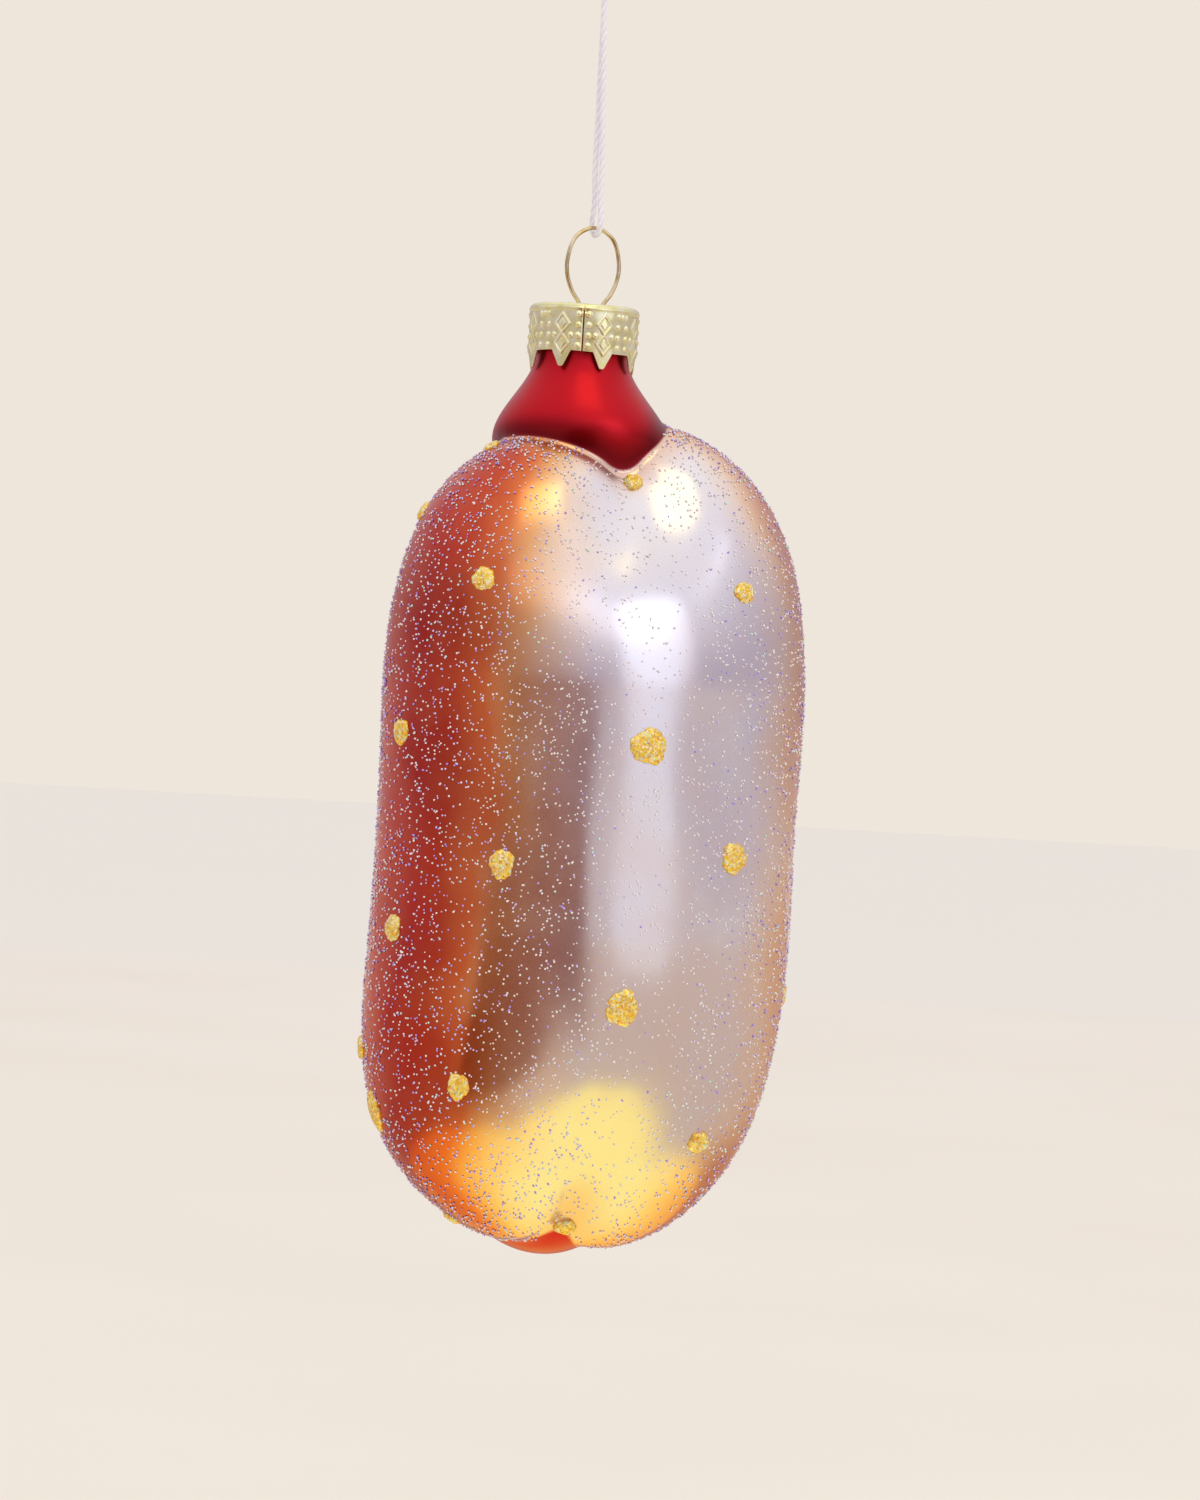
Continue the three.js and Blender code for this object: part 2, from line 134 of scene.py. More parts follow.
def smooth_path(points, spacing):
    """An even line through points. Between two points it is the cubic whose slope at each is that
    of a parabola through the point and its neighbours, with the root of the distance as measure."""
    measure = np.concatenate([[0], np.cumsum(np.diff(length_along(points)) ** 0.5)])
    slopes = np.gradient(points, measure, axis=0, edge_order=2)
    fine = np.linspace(0, measure[-1], steps_between * len(points))
    piece = np.clip(np.searchsorted(measure, fine, side="right") - 1, 0, len(points) - 2)
    span = (measure[piece + 1] - measure[piece])[:, None]
    t = (fine[:, None] - measure[piece][:, None]) / span
    line = (2 * t**3 - 3 * t**2 + 1) * points[piece] + (t**3 - 2 * t**2 + t) * span * slopes[piece]
    line += (3 * t**2 - 2 * t**3) * points[piece + 1] + (t**3 - t**2) * span * slopes[piece + 1]
    travelled = length_along(line)
    stations = np.linspace(0, travelled[-1], max(2, round(travelled[-1] / spacing)))
    return np.stack([np.interp(stations, travelled, line[:, axis]) for axis in range(3)], -1)


def sweep(path, reference, radii):
    """Rings of points round a path. radii has a row for each ring and a column for each side, and
    reference is a direction that the path never runs along, from which the sides are counted."""
    along = unit(np.gradient(path, axis=0))
    side = unit(np.array(reference) - (along @ np.array(reference))[:, None] * along)
    other = np.cross(along, side)
    turn = full_turn(radii.shape[1])[None, :, None]
    ring = side[:, None] * np.cos(turn) + other[:, None] * np.sin(turn)
    return path[:, None] + radii[..., None] * ring


def wall_faces(rows, columns, first=0):
    """Quads between the rings of a closed wall, with the first point's number given."""
    row, column = np.meshgrid(np.arange(rows - 1), np.arange(columns), indexing="ij")
    here = first + row * columns + column
    after = first + row * columns + (column + 1) % columns
    return np.stack([here, after, after + columns, here + columns], -1).reshape(-1, 4)


def tube_faces(shape, first=0):
    """A tube's wall and the two faces that close its ends, from its counts of rings and sides."""
    rows, columns = shape
    ring = first + np.arange(columns)
    return wall_faces(rows, columns, first), np.stack([ring[::-1], ring + (rows - 1) * columns])


def fan_faces(tip, ring):
    """Triangles from one point to a ring, all by the points' numbers."""
    return np.stack([np.full(len(ring), tip), ring, np.roll(ring, -1)], -1)


def make_piece(name, material, points, *face_groups):
    """A smooth mesh object of one material, from its points and groups of faces, a face to a row."""
    mesh = bpy.data.meshes.new(name)
    faces = [face for group in face_groups for face in group.tolist()]
    mesh.from_pydata(points.reshape(-1, 3).tolist(), [], faces)
    mesh.materials.append(material)
    mesh.shade_smooth()
    piece = bpy.data.objects.new(name, mesh)
    bpy.context.scene.collection.objects.link(piece)
    return piece


def set_numbers(piece, name, values):
    """A number for each point of a piece, which its material reads by name."""
    attribute = piece.data.attributes.new(name, "FLOAT", "POINT")
    attribute.data.foreach_set("value", np.ravel(values).astype(np.float32))


def laid_ridges(path, sides, lay):
    """The height of a laid cord's plies, from 0 in a groove to 1 on a crest. A ply is a round
    ridge, and the ridges go once round the cord in each lay."""
    turn = np.linspace(0, 1, sides, endpoint=False)[None]
    ply = (turn - length_along(path)[:, None] / lay) * cord_plies
    across = 2 * (ply - np.round(ply))
    return np.sqrt(1 - across**2)


def laid_tube(path, reference, diameter, sides):
    """The points of a laid cord along a path, and its ridges."""
    ridges = laid_ridges(path, sides, cord_lay * diameter / cord_diameter)
    radii = diameter / 2 * (1 - ply_groove * (1 - ridges))
    return sweep(path, reference, radii), ridges


def new_material(name):
    """An empty node material and its tree."""
    material = bpy.data.materials.new(name)
    material.use_nodes = True
    material.node_tree.nodes.clear()
    return material, material.node_tree


def add_node(tree, kind, inputs=None, **settings):
    """A shader node with its settings. Each input, by name or number, is a value or a link."""
    made = tree.nodes.new(kind)
    for name, value in settings.items():
        setattr(made, name, value)
    for key, value in (inputs or {}).items():
        if isinstance(value, bpy.types.NodeSocket):
            tree.links.new(value, made.inputs[key])
        else:
            made.inputs[key].default_value = value
    return made


def finish_material(tree, **inputs):
    """The Principled shader and the output. Inputs are by name, with _ for a space."""
    named = {name.replace("_", " "): value for name, value in inputs.items()}
    shader = add_node(tree, "ShaderNodeBsdfPrincipled", named)
    add_node(tree, "ShaderNodeOutputMaterial", {"Surface": shader.outputs[0]})


def read_number(tree, name):
    """The attribute of that name, as a socket."""
    return add_node(tree, "ShaderNodeAttribute", attribute_name=name).outputs["Fac"]


def mix_colours(tree, share, first, second):
    """First where the share is 0, second where it is 1."""
    inputs = {0: share, 6: first, 7: second}
    return add_node(tree, "ShaderNodeMix", inputs, data_type="RGBA").outputs[2]


def remap(tree, value, low, high, to_low=0.0, to_high=1.0, smooth=False):
    """A value carried from one range to another, and kept inside it."""
    kind = "SMOOTHSTEP" if smooth else "LINEAR"
    numbers = {0: value, 1: low, 2: high, 3: to_low, 4: to_high}
    return add_node(tree, "ShaderNodeMapRange", numbers, interpolation_type=kind).outputs[0]


def calculate(tree, operation, first, second):
    """Two numbers put together by a named operation."""
    return add_node(tree, "ShaderNodeMath", {0: first, 1: second}, operation=operation).outputs[0]


def add_noise(tree, scale, detail, roughness=0.5):
    """Noise in a piece's own places, with its scale in turns per metre."""
    place = add_node(tree, "ShaderNodeTexCoord").outputs["Object"]
    inputs = {"Vector": place, "Scale": scale, "Detail": detail, "Roughness": roughness}
    return add_node(tree, "ShaderNodeTexNoise", inputs).outputs[0]


def ramp_colours(tree, share, stops):
    """A colour ramp with (place, colour) stops."""
    ramp = add_node(tree, "ShaderNodeValToRGB", {0: share})
    elements = ramp.color_ramp.elements
    while len(elements) < len(stops):
        elements.new(0.5)
    for element, (place, colour) in zip(elements, stops):
        element.position = place
        element.color = colour
    return ramp.outputs[0]


def make_grain_group():
    """Fine grain for any finish: noise at two scales, as a height and as a share for roughness."""
    group = bpy.data.node_groups.new("fine_grain", "ShaderNodeTree")
    for name, value in (("Scale", 1000.0), ("Coarseness", 0.25)):
        socket = group.interface.new_socket(name, in_out="INPUT", socket_type="NodeSocketFloat")
        socket.default_value = value
    for name in ("Height", "Patches"):
        group.interface.new_socket(name, in_out="OUTPUT", socket_type="NodeSocketFloat")
    entry = add_node(group, "NodeGroupInput")
    scale = entry.outputs["Scale"]
    coarse = calculate(group, "MULTIPLY", scale, entry.outputs["Coarseness"])
    noises = {"Height": add_noise(group, scale, 4.0, 0.6), "Patches": add_noise(group, coarse, 3.0)}
    add_node(group, "NodeGroupOutput", noises)
    return group


grain_group = make_grain_group()


def add_grain(tree, scale, coarseness):
    """The grain's height and patches in a material, with its scale in turns per metre."""
    inputs = {"Scale": scale, "Coarseness": coarseness}
    grain = add_node(tree, "ShaderNodeGroup", inputs, node_tree=grain_group)
    return grain.outputs["Height"], grain.outputs["Patches"]


def add_bump(tree, height, strength, depth, **below):
    """A bump from a height, with its depth in metres. Normal is a bump below it, if there is one."""
    inputs = {"Height": height, "Strength": strength, "Distance": depth, **below}
    return add_node(tree, "ShaderNodeBump", inputs).outputs[0]


def make_cord_material():
    """White cotton-like cord with a slight sheen: darker lilac painted into its grooves as shade, and fine
    fibres.
    """
    material, tree = new_material("white_cord")
    height, patches = add_grain(tree, 9000, 0.2)
    crest = remap(tree, read_number(tree, "ridge"), 0.1, 0.9)
    # Painted shade: darker lilac in the grooves, white on the crests.
    tone = mix_colours(tree, crest, cord_groove_shade, cord_white)
    colour = mix_colours(tree, remap(tree, patches, 0.35, 0.75, 0, 0.35), tone, cord_worn)
    normal = add_bump(tree, height, 0.5, 0.04 * mm)
    finish_material(tree, Base_Color=colour, Roughness=0.62, Sheen_Weight=0.5, Sheen_Roughness=0.4,
                    Normal=normal)
    return material


cord_path = smooth_path(cord_route, cord_spacing)
cord_points, cord_ridges = laid_tube(cord_path, (1, 0, 0), cord_diameter, cord_sides)
cord_material = make_cord_material()
hanging_cord = make_piece("laid_cord", cord_material, cord_points, *tube_faces(cord_ridges.shape))
set_numbers(hanging_cord, "ridge", cord_ridges)


# Knot. The cord's two ends are tied together in an overhand knot and cut off short, and the
# cut plies spread a little.
knot_foot = 0.6 * mm
knot_height = 2.8 * mm
knot_reach = 0.32 * mm
knot_weave = 0.42 * mm
knot_tail_length = 4.1 * mm
knot_tail_lean = math.radians(18)
knot_strand = 0.66 * mm
tail_diameter = 0.95 * cord_diameter
fray_diameter = 0.36 * cord_diameter
fray_spread = 0.55 * cord_diameter
fray_sides = 9


def knot_loop(height, start):
    """The middle line of an overhand loop: a three-lobed knot curve, flattened."""
    t = np.linspace(0, 2 * np.pi, 140) + start
    x = knot_reach * (np.sin(t) + 2 * np.sin(2 * t))
    y = knot_reach * (np.cos(t) - 2 * np.cos(2 * t))
    z = height - knot_weave * np.sin(3 * t)
    return np.stack([x, y, z], -1)


def knot_tail(side):
    """A tail from inside the knot, leaning to one side and bending a little."""
    share = np.linspace(0, 1, 44)
    lean = side * knot_tail_lean * (0.6 + 0.5 * share)
    reach = share * knot_tail_length
    foot = knot_foot + 0.7 * knot_height
    return np.stack([0.1 * mm * share, -reach * np.sin(lean), foot + reach * np.cos(lean)], -1)


def join_tubes(name, tubes):
    """One piece of cord from several laid tubes."""
    points, faces, ridges, first = [], [], [], 0
    for tube_points, tube_ridges in tubes:
        points.append(tube_points.reshape(-1, 3))
        ridges.append(tube_ridges.ravel())
        faces += tube_faces(tube_ridges.shape, first)
        first += tube_ridges.size
    piece = make_piece(name, cord_material, np.concatenate(points), *faces)
    set_numbers(piece, "ridge", np.concatenate(ridges))
    return piece


knot_tubes = []
for loop_height, loop_start in ((0.35, 0.0), (0.62, 1.05)):
    loop_path = knot_loop(knot_foot + loop_height * knot_height, loop_start)
    knot_tubes.append(laid_tube(loop_path, (0, 0, 1), knot_strand, cord_sides))
for end_point in (cord_route[0], cord_route[-1]):
    share = np.linspace(0, 1, 12)[:, None]
    rise = end_point + share * (np.array((0, 0, knot_foot + 0.4 * knot_height)) - end_point * (1, 1, 0.3))
    knot_tubes.append(laid_tube(rise, (1, 0, 0), cord_diameter, cord_sides))
for side in (-1, 1):
    tail_path = knot_tail(side)
    knot_tubes.append(laid_tube(tail_path, (1, 0, 0), tail_diameter, cord_sides))
    for spread in full_turn(cord_plies):
        share = np.linspace(0, 1, 8)[:, None]
        away = np.array((math.cos(spread), math.sin(spread), 0)) * fray_spread
        fray = tail_path[-2] + share * (tail_path[-1] - tail_path[-2]) * 3 + share**1.5 * away
        knot_tubes.append(laid_tube(fray, (1, 0, 0), fray_diameter, fray_sides))
cord_knot = join_tubes("overhand_knot", knot_tubes)
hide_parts("cord_knot")
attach(cord_knot, "knot")

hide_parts("hanging_cord")
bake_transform(hanging_cord)


# Hanger wire. One spring wire bent to an oval eye. Its legs cross the top of the cap and
# spread inside the neck, which holds the cap on.
wire_diameter = 0.5 * mm
wire_sides = 14
wire_spacing = 0.2 * mm
eye_offset = -0.7 * mm
eye_radius = 3.3 * mm
eye_rise = 4 * mm
eye_height = 9.5 * mm
leg_spacing = 2.5 * mm
leg_spread = 3.4 * mm
leg_length = 21 * mm
cap_wall = 0.3 * mm
wire_gold = (0.56, 0.42, 0.20, 1)
wire_pale = (0.86, 0.76, 0.52, 1)


def wire_path():
    """The wire's middle line, from one leg's end round the eye to the other's."""
    widest = eye_height - eye_rise
    diagonal = math.sqrt(0.5)
    half = [
        (leg_spread, -leg_length),
        ((leg_spread + leg_spacing / 2) / 2, -leg_length / 2),
        (leg_spacing / 2, -cap_wall),
        (0.76 * eye_radius, widest / 3),
        (0.96 * eye_radius, 0.63 * widest),
        (eye_radius, widest),
        (eye_radius * diagonal, widest + eye_rise * diagonal),
    ]
    points = half + [(0, eye_height)] + [(-x, z) for x, z in reversed(half)]
    placed = [(x if z < -cap_wall else x + eye_offset, 0, cap_top + z) for x, z in points]
    return smooth_path(np.array(placed), wire_spacing)


def round_ends(path, reach, least):
    """The share of its full width that a line has along its path. Both ends are rounded off over
    a reach, down to the root of least."""
    along = length_along(path)
    from_end = np.minimum(along, along[-1] - along) / reach
    return np.sqrt(np.clip(1 - (1 - from_end).clip(0, 1) ** 2, least, 1))[:, None]


def make_wire_material():
    """Bright drawn wire, paler where it is worn, with faint marks along it."""
    material, tree = new_material("gold_wire")
    height, patches = add_grain(tree, 2500, 0.3)
    colour = mix_colours(tree, remap(tree, patches, 0.4, 0.7), wire_gold, wire_pale)
    roughness = remap(tree, patches, 0.3, 0.7, 0.1, 0.2)
    normal = add_bump(tree, height, 0.1, 0.005 * mm)
    finish_material(tree, Base_Color=colour, Metallic=1.0, Roughness=roughness, Normal=normal)
    return material


wire_line = wire_path()
wire_radii = wire_diameter / 2 * round_ends(wire_line, wire_diameter / 2, 0.04) * np.ones((1, wire_sides))
hanger_wire = make_piece("spring_wire", make_wire_material(), sweep(wire_line, (0, 1, 0), wire_radii),
                         *tube_faces(wire_radii.shape))
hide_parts("hanger_wire")
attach(hanger_wire, "hanger")


# Cap. One stamping of thin pale gold brass: a disc with two holes, and a skirt embossed with
# studs and diamonds, cut into eight teeth and closed by a butted seam.
cap_sheet = 0.22 * mm
skirt_radius = 6.5 * mm
skirt_depth = 5.7 * mm
cap_corner = 0.5 * mm
tooth_count = 8
tooth_length = 1.9 * mm
tooth_width = 2.4 * mm
tooth_tip = 0.5 * mm
seam_turn = math.radians(68)
seam_width = 0.14 * mm
seam_tuck = 0.1 * mm
disc_patch = 2.7 * mm
hole_radius = 0.55 * mm
columns_per_tooth = 64
skirt_rows = 66
rows_above_seam = 4
rim_depth = 0.62 * mm
rim_rise = 0.08 * mm
diamond_depths = (2.5 * mm, 4.84 * mm)
diamond_half_width = 0.86 * mm
diamond_half_height = 1.17 * mm
diamond_line = 0.11 * mm
diamond_rise = 0.13 * mm
diamond_pad_rise = 0.07 * mm
stud_rows = (1.35 * mm, 2.62 * mm, 3.86 * mm, 5.06 * mm)
stud_aside = 0.62 * mm
stud_far_aside = 1.5 * mm
stud_radius = 0.34 * mm
stud_height = 0.17 * mm
cap_gold = (0.93, 0.89, 0.43, 1)
cap_pale = (1.0, 1.0, 0.74, 1)
cap_patina = (0.34, 0.27, 0.08, 1)


def bell(away, width):
    """1 in the middle, and almost nothing at twice the width from it."""
    return np.exp(-((away / width) ** 2))


def cap_relief(across, depth):
    """How far the stamped pattern stands out. across is from the middle of a tooth, and depth is
    below the top. Lines follow two diamonds above the tooth, and studs stand between the teeth."""
    relief = np.zeros(np.broadcast(across, depth).shape)
    steepness = math.hypot(1 / diamond_half_width, 1 / diamond_half_height)
    for middle in diamond_depths:
        reach = np.abs(across) / diamond_half_width + np.abs(depth - middle) / diamond_half_height
        relief = np.maximum(relief, diamond_rise * bell((reach - 1) / steepness, diamond_line))
        relief = np.maximum(relief, diamond_pad_rise * np.clip((0.62 - reach) / 0.12, 0, 1))
    from_gap = np.pi * skirt_radius / tooth_count - np.abs(across)
    studs = [(stud_aside, row) for row in stud_rows] + [(stud_far_aside, stud_rows[2]), (0, stud_rows[0])]
    for place, row in studs:
        share = np.hypot(from_gap - place, depth - row) / stud_radius
        relief = np.maximum(relief, stud_height * np.clip(1 - share**2, 0, 1) ** 0.7)
    return relief


def cap_sheet_points():
    """The outer face of the cap as rings: out along the disc, round the corner and down the
    skirt to its cut edge. Dents are long sine waves, and the teeth lean in a little."""
    columns = tooth_count * columns_per_tooth
    step = 2 * np.pi / columns
    turn = (np.arange(columns) + 0.5) * step
    turn[0] = turn[0] - step / 2 + seam_width / 2 / skirt_radius
    turn[-1] = turn[-1] + step / 2 - seam_width / 2 / skirt_radius
    tooth_turn = 2 * np.pi / tooth_count
    across = (turn % tooth_turn - tooth_turn / 2) * skirt_radius
    flank = (tooth_width / 2 - np.abs(across)) / (tooth_width / 2 - tooth_tip / 2)
    edge = skirt_depth + tooth_length * np.clip(flank, 0, 1) + 0.08 * mm * np.sin(3 * turn)

    all_round = np.ones((1, columns))
    disc = np.linspace(disc_patch, skirt_radius - cap_corner, 7)[:-1, None] * all_round
    bend = np.linspace(0, np.pi / 2, 8)[:, None] * all_round
    corner = skirt_radius - cap_corner + cap_corner * np.sin(bend)
    share = np.linspace(0, 1, skirt_rows + 1)[1:, None]
    skirt_down = cap_corner + share * (edge - cap_corner)
    relief = cap_relief(across, skirt_down)
    rim = rim_rise * bell(skirt_down - rim_depth, 0.2 * mm)
    tuck = seam_tuck * bell(np.minimum(turn, 2 * np.pi - turn) * skirt_radius, 0.16 * mm)
    dent = 0.07 * mm * np.sin(2 * turn + 0.7) * np.sin(skirt_down / (1.9 * mm))
    dent = dent + 0.045 * mm * np.sin(9 * turn + 2) * np.sin(skirt_down / (0.9 * mm) + 1)
    below = np.clip((skirt_down - skirt_depth) / tooth_length, 0, 1)
    lean = below**1.5 * (0.1 + 0.1 * np.sin(5 * turn + 1)) * mm
    skirt = skirt_radius + relief + rim + dent - tuck - lean

    radius = np.concatenate([disc, corner, skirt])
    drop = np.concatenate([0 * disc, cap_corner * (1 - np.cos(bend)), skirt_down])
    ripple = 0.04 * mm * np.sin(3 * turn + 1) * np.clip(1 - drop / cap_corner, 0, 1)
    x = radius * np.cos(turn + seam_turn)
    y = radius * np.sin(turn + seam_turn)
    z = cap_top - drop - ripple * np.clip(radius / skirt_radius, 0, 1) - 0.05 * mm
    stamped = np.concatenate([0 * disc, 0 * corner, relief - 0.6 * tuck])
    return np.stack([x, y, z], -1), stamped


def cap_middle(ring, hole_sides=28):
    """Flat triangles inside a ring, round the two holes for the wire. Gives the holes' points
    and the triangles, whose numbers count the ring's points first."""
    turn = full_turn(hole_sides)
    hole = hole_radius * np.stack([np.cos(turn), np.sin(turn)], -1)
    holes = [hole + (eye_offset + side * leg_spacing / 2, 0) for side in (-1, 1)]
    flat = np.concatenate([ring[:, :2], *holes]) / mm
    edges, first = [], 0
    for count in (len(ring), hole_sides, hole_sides):
        edges += [(first + i, first + (i + 1) % count) for i in range(count)]
        first += count
    made = delaunay_2d_cdt([Vector(point) for point in flat], edges, [], 0, 1e-6)
    source = np.array([numbers[0] for numbers in made[3]])
    triangles = source[np.array(made[2])]
    centres = flat[triangles].mean(1) * mm
    clear = np.hypot(np.abs(centres[:, 0] - eye_offset) - leg_spacing / 2, centres[:, 1]) > hole_radius
    triangles = triangles[clear]
    a, b, c = (flat[triangles[:, corner]] for corner in range(3))
    area = (b[:, 0] - a[:, 0]) * (c[:, 1] - a[:, 1]) - (b[:, 1] - a[:, 1]) * (c[:, 0] - a[:, 0])
    triangles[area < 0] = triangles[area < 0][:, ::-1]
    hole_points = np.concatenate(holes)
    height = np.full((len(hole_points), 1), ring[:, 2].mean())
    return np.concatenate([hole_points, height], 1), triangles


def make_cap():
    """The cap as one thin sheet. The skirt's faces across the seam are left out, and the sheet
    gets its thickness inwards."""
    sheet, stamped = cap_sheet_points()
    rows, columns = stamped.shape
    holes, middle = cap_middle(sheet[0])
    middle = np.where(middle >= columns, middle + (rows - 1) * columns, middle)
    walls = wall_faces(rows, columns)[:, ::-1].reshape(rows - 1, columns, 4)
    keep = np.ones((rows - 1, columns), bool)
    keep[rows - skirt_rows + rows_above_seam:, -1] = False
    points = np.concatenate([sheet.reshape(-1, 3), holes])
    cap = make_piece("stamped_cap", make_cap_material(), points, walls[keep], middle)
    set_numbers(cap, "stamped", np.concatenate([stamped.ravel(), np.zeros(len(holes))]) / mm)
    thickness = cap.modifiers.new("thickness", "SOLIDIFY")
    thickness.thickness = cap_sheet
    thickness.offset = -1
    return cap


def make_cap_material():
    """Pale gold brass with a green-brown tone down in the stamping, and small tarnished patches."""
    material, tree = new_material("gold_cap")
    height, patches = add_grain(tree, 3000, 0.3)
    raised = remap(tree, read_number(tree, "stamped"), -0.03, 0.1)
    gold = mix_colours(tree, remap(tree, patches, 0.35, 0.65), cap_gold, cap_pale)
    colour = mix_colours(tree, raised, mix_colours(tree, 0.3, gold, cap_patina), gold)
    roughness = remap(tree, patches, 0.3, 0.7, 0.14, 0.28)
    normal = add_bump(tree, height, 0.3, 0.02 * mm)
    finish_material(tree, Base_Color=colour, Metallic=0.75, Roughness=roughness, Normal=normal)
    return material


cap = make_cap()
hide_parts("cap")
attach(cap, "hanger")


# Glass. One blown shell, silvered and lacquered: the sausage, the bun round its back and the
# open neck. The bun is two back lobes with a core between them, and a lip each side.
bun_x = -3.4 * mm
bun_y = 0.6 * mm
bun_foot = 2.4 * mm
bun_top = 98.5 * mm
bun_foot_round = 31.5 * mm
bun_top_round = 26 * mm
lobe_blend = 2.2 * mm
crease_blend = 0.9 * mm
foot_meets = 0.5
top_meets = 0.4
far_side_rise = 1.2 * mm
far_side_drop = 0.6 * mm
bun_bow = 1.1 * mm
bow_low = (14 * mm, 46 * mm)
bow_high = (56 * mm, 84 * mm)
back_lobe = {"centre": 9.2 * mm, "half_width": 15.8 * mm, "back": 16 * mm, "front": 10 * mm,
             "foot": bun_foot, "top": bun_top, "top_round": bun_top_round}
lip_lobe = {"centre": 13.9 * mm, "half_width": 11.3 * mm, "back": 14 * mm, "front": 14 * mm,
            "foot": bun_foot, "top": bun_top - 1.2 * mm, "top_round": 30 * mm}
core_lobe = {"centre": 0, "half_width": 24 * mm, "back": 19.3 * mm, "front": 8 * mm,
             "foot": bun_foot + 5.5 * mm, "top": bun_top - 4.6 * mm, "top_round": bun_top_round}
sausage_y = -4.6 * mm
sausage_radius = 10.8 * mm
neck_radius = 5.5 * mm
neck_top = bun_top + 14.1 * mm
bend_to = neck_top - 4.6 * mm
bend_from = bend_to - 24 * mm
shoulder_to = neck_top - 5.2 * mm
shoulder_from = shoulder_to - 10.5 * mm
glass_wall = 1 * mm
glass_columns = 232
spine_foot = 24 * mm
spine_top = bun_top - 22.5 * mm
spine_rise = 60
glass_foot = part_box("glass_body")[1].z - neck_top
skin_wave = 0.12 * mm
foot_paint_shift = 15
top_paint_shift = 6
halvings = 30
slope_step = 0.05 * mm
settle_steps = 5
never_zero = 1e-9


def ease(low, high, value):
    """From 0 to 1 as the value goes from low to high, with level ends."""
    share = np.clip((value - low) / (high - low), 0, 1)
    return share**2 * (3 - 2 * share)


def blend_min(a, b, blend):
    """The smaller of two values, rounded where they meet."""
    overlap = np.maximum(blend - np.abs(a - b), 0) / blend
    return np.minimum(a, b) - overlap**2 * blend / 4


def lobe_shape(x, y, z, form):
    """Below 0 inside an upright lobe of oval section with long round ends. It is the distance
    from an oval, scaled by how fast that changes, and the lobe's middle bends in at its ends."""
    below = np.maximum(form["foot"] + bun_foot_round - z, 0) / bun_foot_round
    above = np.maximum(z - form["top"] + form["top_round"], 0) / form["top_round"]
    end = below + above
    end_length = np.where(below > 0, bun_foot_round, form["top_round"])
    meets = np.where(below > 0, foot_meets, top_meets)
    centre = form["centre"] * (1 - meets * np.minimum(end, 1.2) ** 4)
    depth = np.where(y > 0, form["back"], form["front"])
    along = (x - centre) / form["half_width"]
    across = y / depth
    reach = np.sqrt(along**2 + across**2 + end**2) + never_zero
    slope = (along / form["half_width"]) ** 2 + (across / depth) ** 2 + (end / end_length) ** 2
    return (reach - 1) * reach / (np.sqrt(slope) + never_zero)


def bow(z):
    """How far the bun's middle line stands to its right of straight: it bows a little."""
    return bun_bow * (0.5 - ease(*bow_low, z) + 0.4 * ease(*bow_high, z))


def bun_shape(x, y, z):
    """Below 0 inside the bun: its two back lobes, core and two lips, run together. The lobes on
    its far side rise a little higher."""
    right = x - bun_x - bow(z)
    back = y - bun_y
    far_back, far_lip = ({**form, "foot": form["foot"] - far_side_drop, "top": form["top"] + far_side_rise}
                         for form in (back_lobe, lip_lobe))
    near, far = lobe_shape(right, back, z, back_lobe), lobe_shape(-right, back, z, far_back)
    backs = blend_min(near, far, lobe_blend)
    joined = blend_min(backs, lobe_shape(right, back, z, core_lobe), lobe_blend)
    lips = np.minimum(lobe_shape(right, back, z, lip_lobe), lobe_shape(-right, back, z, far_lip))
    return blend_min(joined, lips, lobe_blend)


def neck_bend(z):
    """How far the neck's bend has carried the axis over to the bun, from 1 to 0 at the rim."""
    return 1 - ease(bend_from, bend_to, z)


def sausage_shape(x, y, z):
    """Below 0 inside the sausage: a bar with a round foot, narrowed by a shoulder to the neck."""
    bend = neck_bend(z)
    off = np.hypot(x - bun_x * bend, y - sausage_y * bend)
    radius = sausage_radius + (neck_radius - sausage_radius) * ease(shoulder_from, shoulder_to, z)
    return np.hypot(off, np.maximum(sausage_radius - z, 0)) - radius


def glass_shape(x, y, z):
    """Below 0 inside the glass, with long shallow waves as a blown skin has."""
    wave = np.sin(x / (5.2 * mm) + 1) * np.sin(z / (7.1 * mm) + y / (6.3 * mm))
    wave = wave + 0.7 * np.sin(x / (3.1 * mm) - z / (4.7 * mm)) * np.sin(y / (3.9 * mm) + 2)
    fade = ease(bun_top + 4 * mm, bun_top - 12 * mm, z)
    return blend_min(bun_shape(x, y, z), sausage_shape(x, y, z), crease_blend) + skin_wave * wave * fade


def shape_at(points):
    """The glass's shape at points, below 0 inside it."""
    return glass_shape(*np.moveaxis(points, -1, 0))


def bun_side(x, y, z):
    """How far a place on the skin is on the bun's side of the crease, below 0 on the red."""
    return sausage_shape(x, y, z) - bun_shape(x, y, z)


def turn_round(x, y):
    """The turn of a place about the spine in degrees, 90 along the hinge."""
    return np.degrees(np.arctan2(y, x - bun_x))


def skin_points(height, rise, turn, depth=0.0):
    """Where rays meet the skin, found by halving. A ray starts on the spine at a height, and goes
    out at a turn about it and a rise above level, in degrees. depth is how far inside it stops."""
    height, rise, turn = np.broadcast_arrays(height, np.radians(rise), np.radians(turn))
    start = np.stack([bun_x * neck_bend(height), np.zeros(height.shape), height], -1)
    direction = np.stack([np.cos(rise) * np.cos(turn), np.cos(rise) * np.sin(turn), np.sin(rise)], -1)
    near = np.zeros(height.shape)
    far = np.full(height.shape, bun_top)
    for halving in range(halvings):
        middle = (near + far) / 2
        inside = shape_at(start + middle[..., None] * direction) + depth < 0
        near = np.where(inside, middle, near)
        far = np.where(inside, far, middle)
    return start + far[..., None] * direction


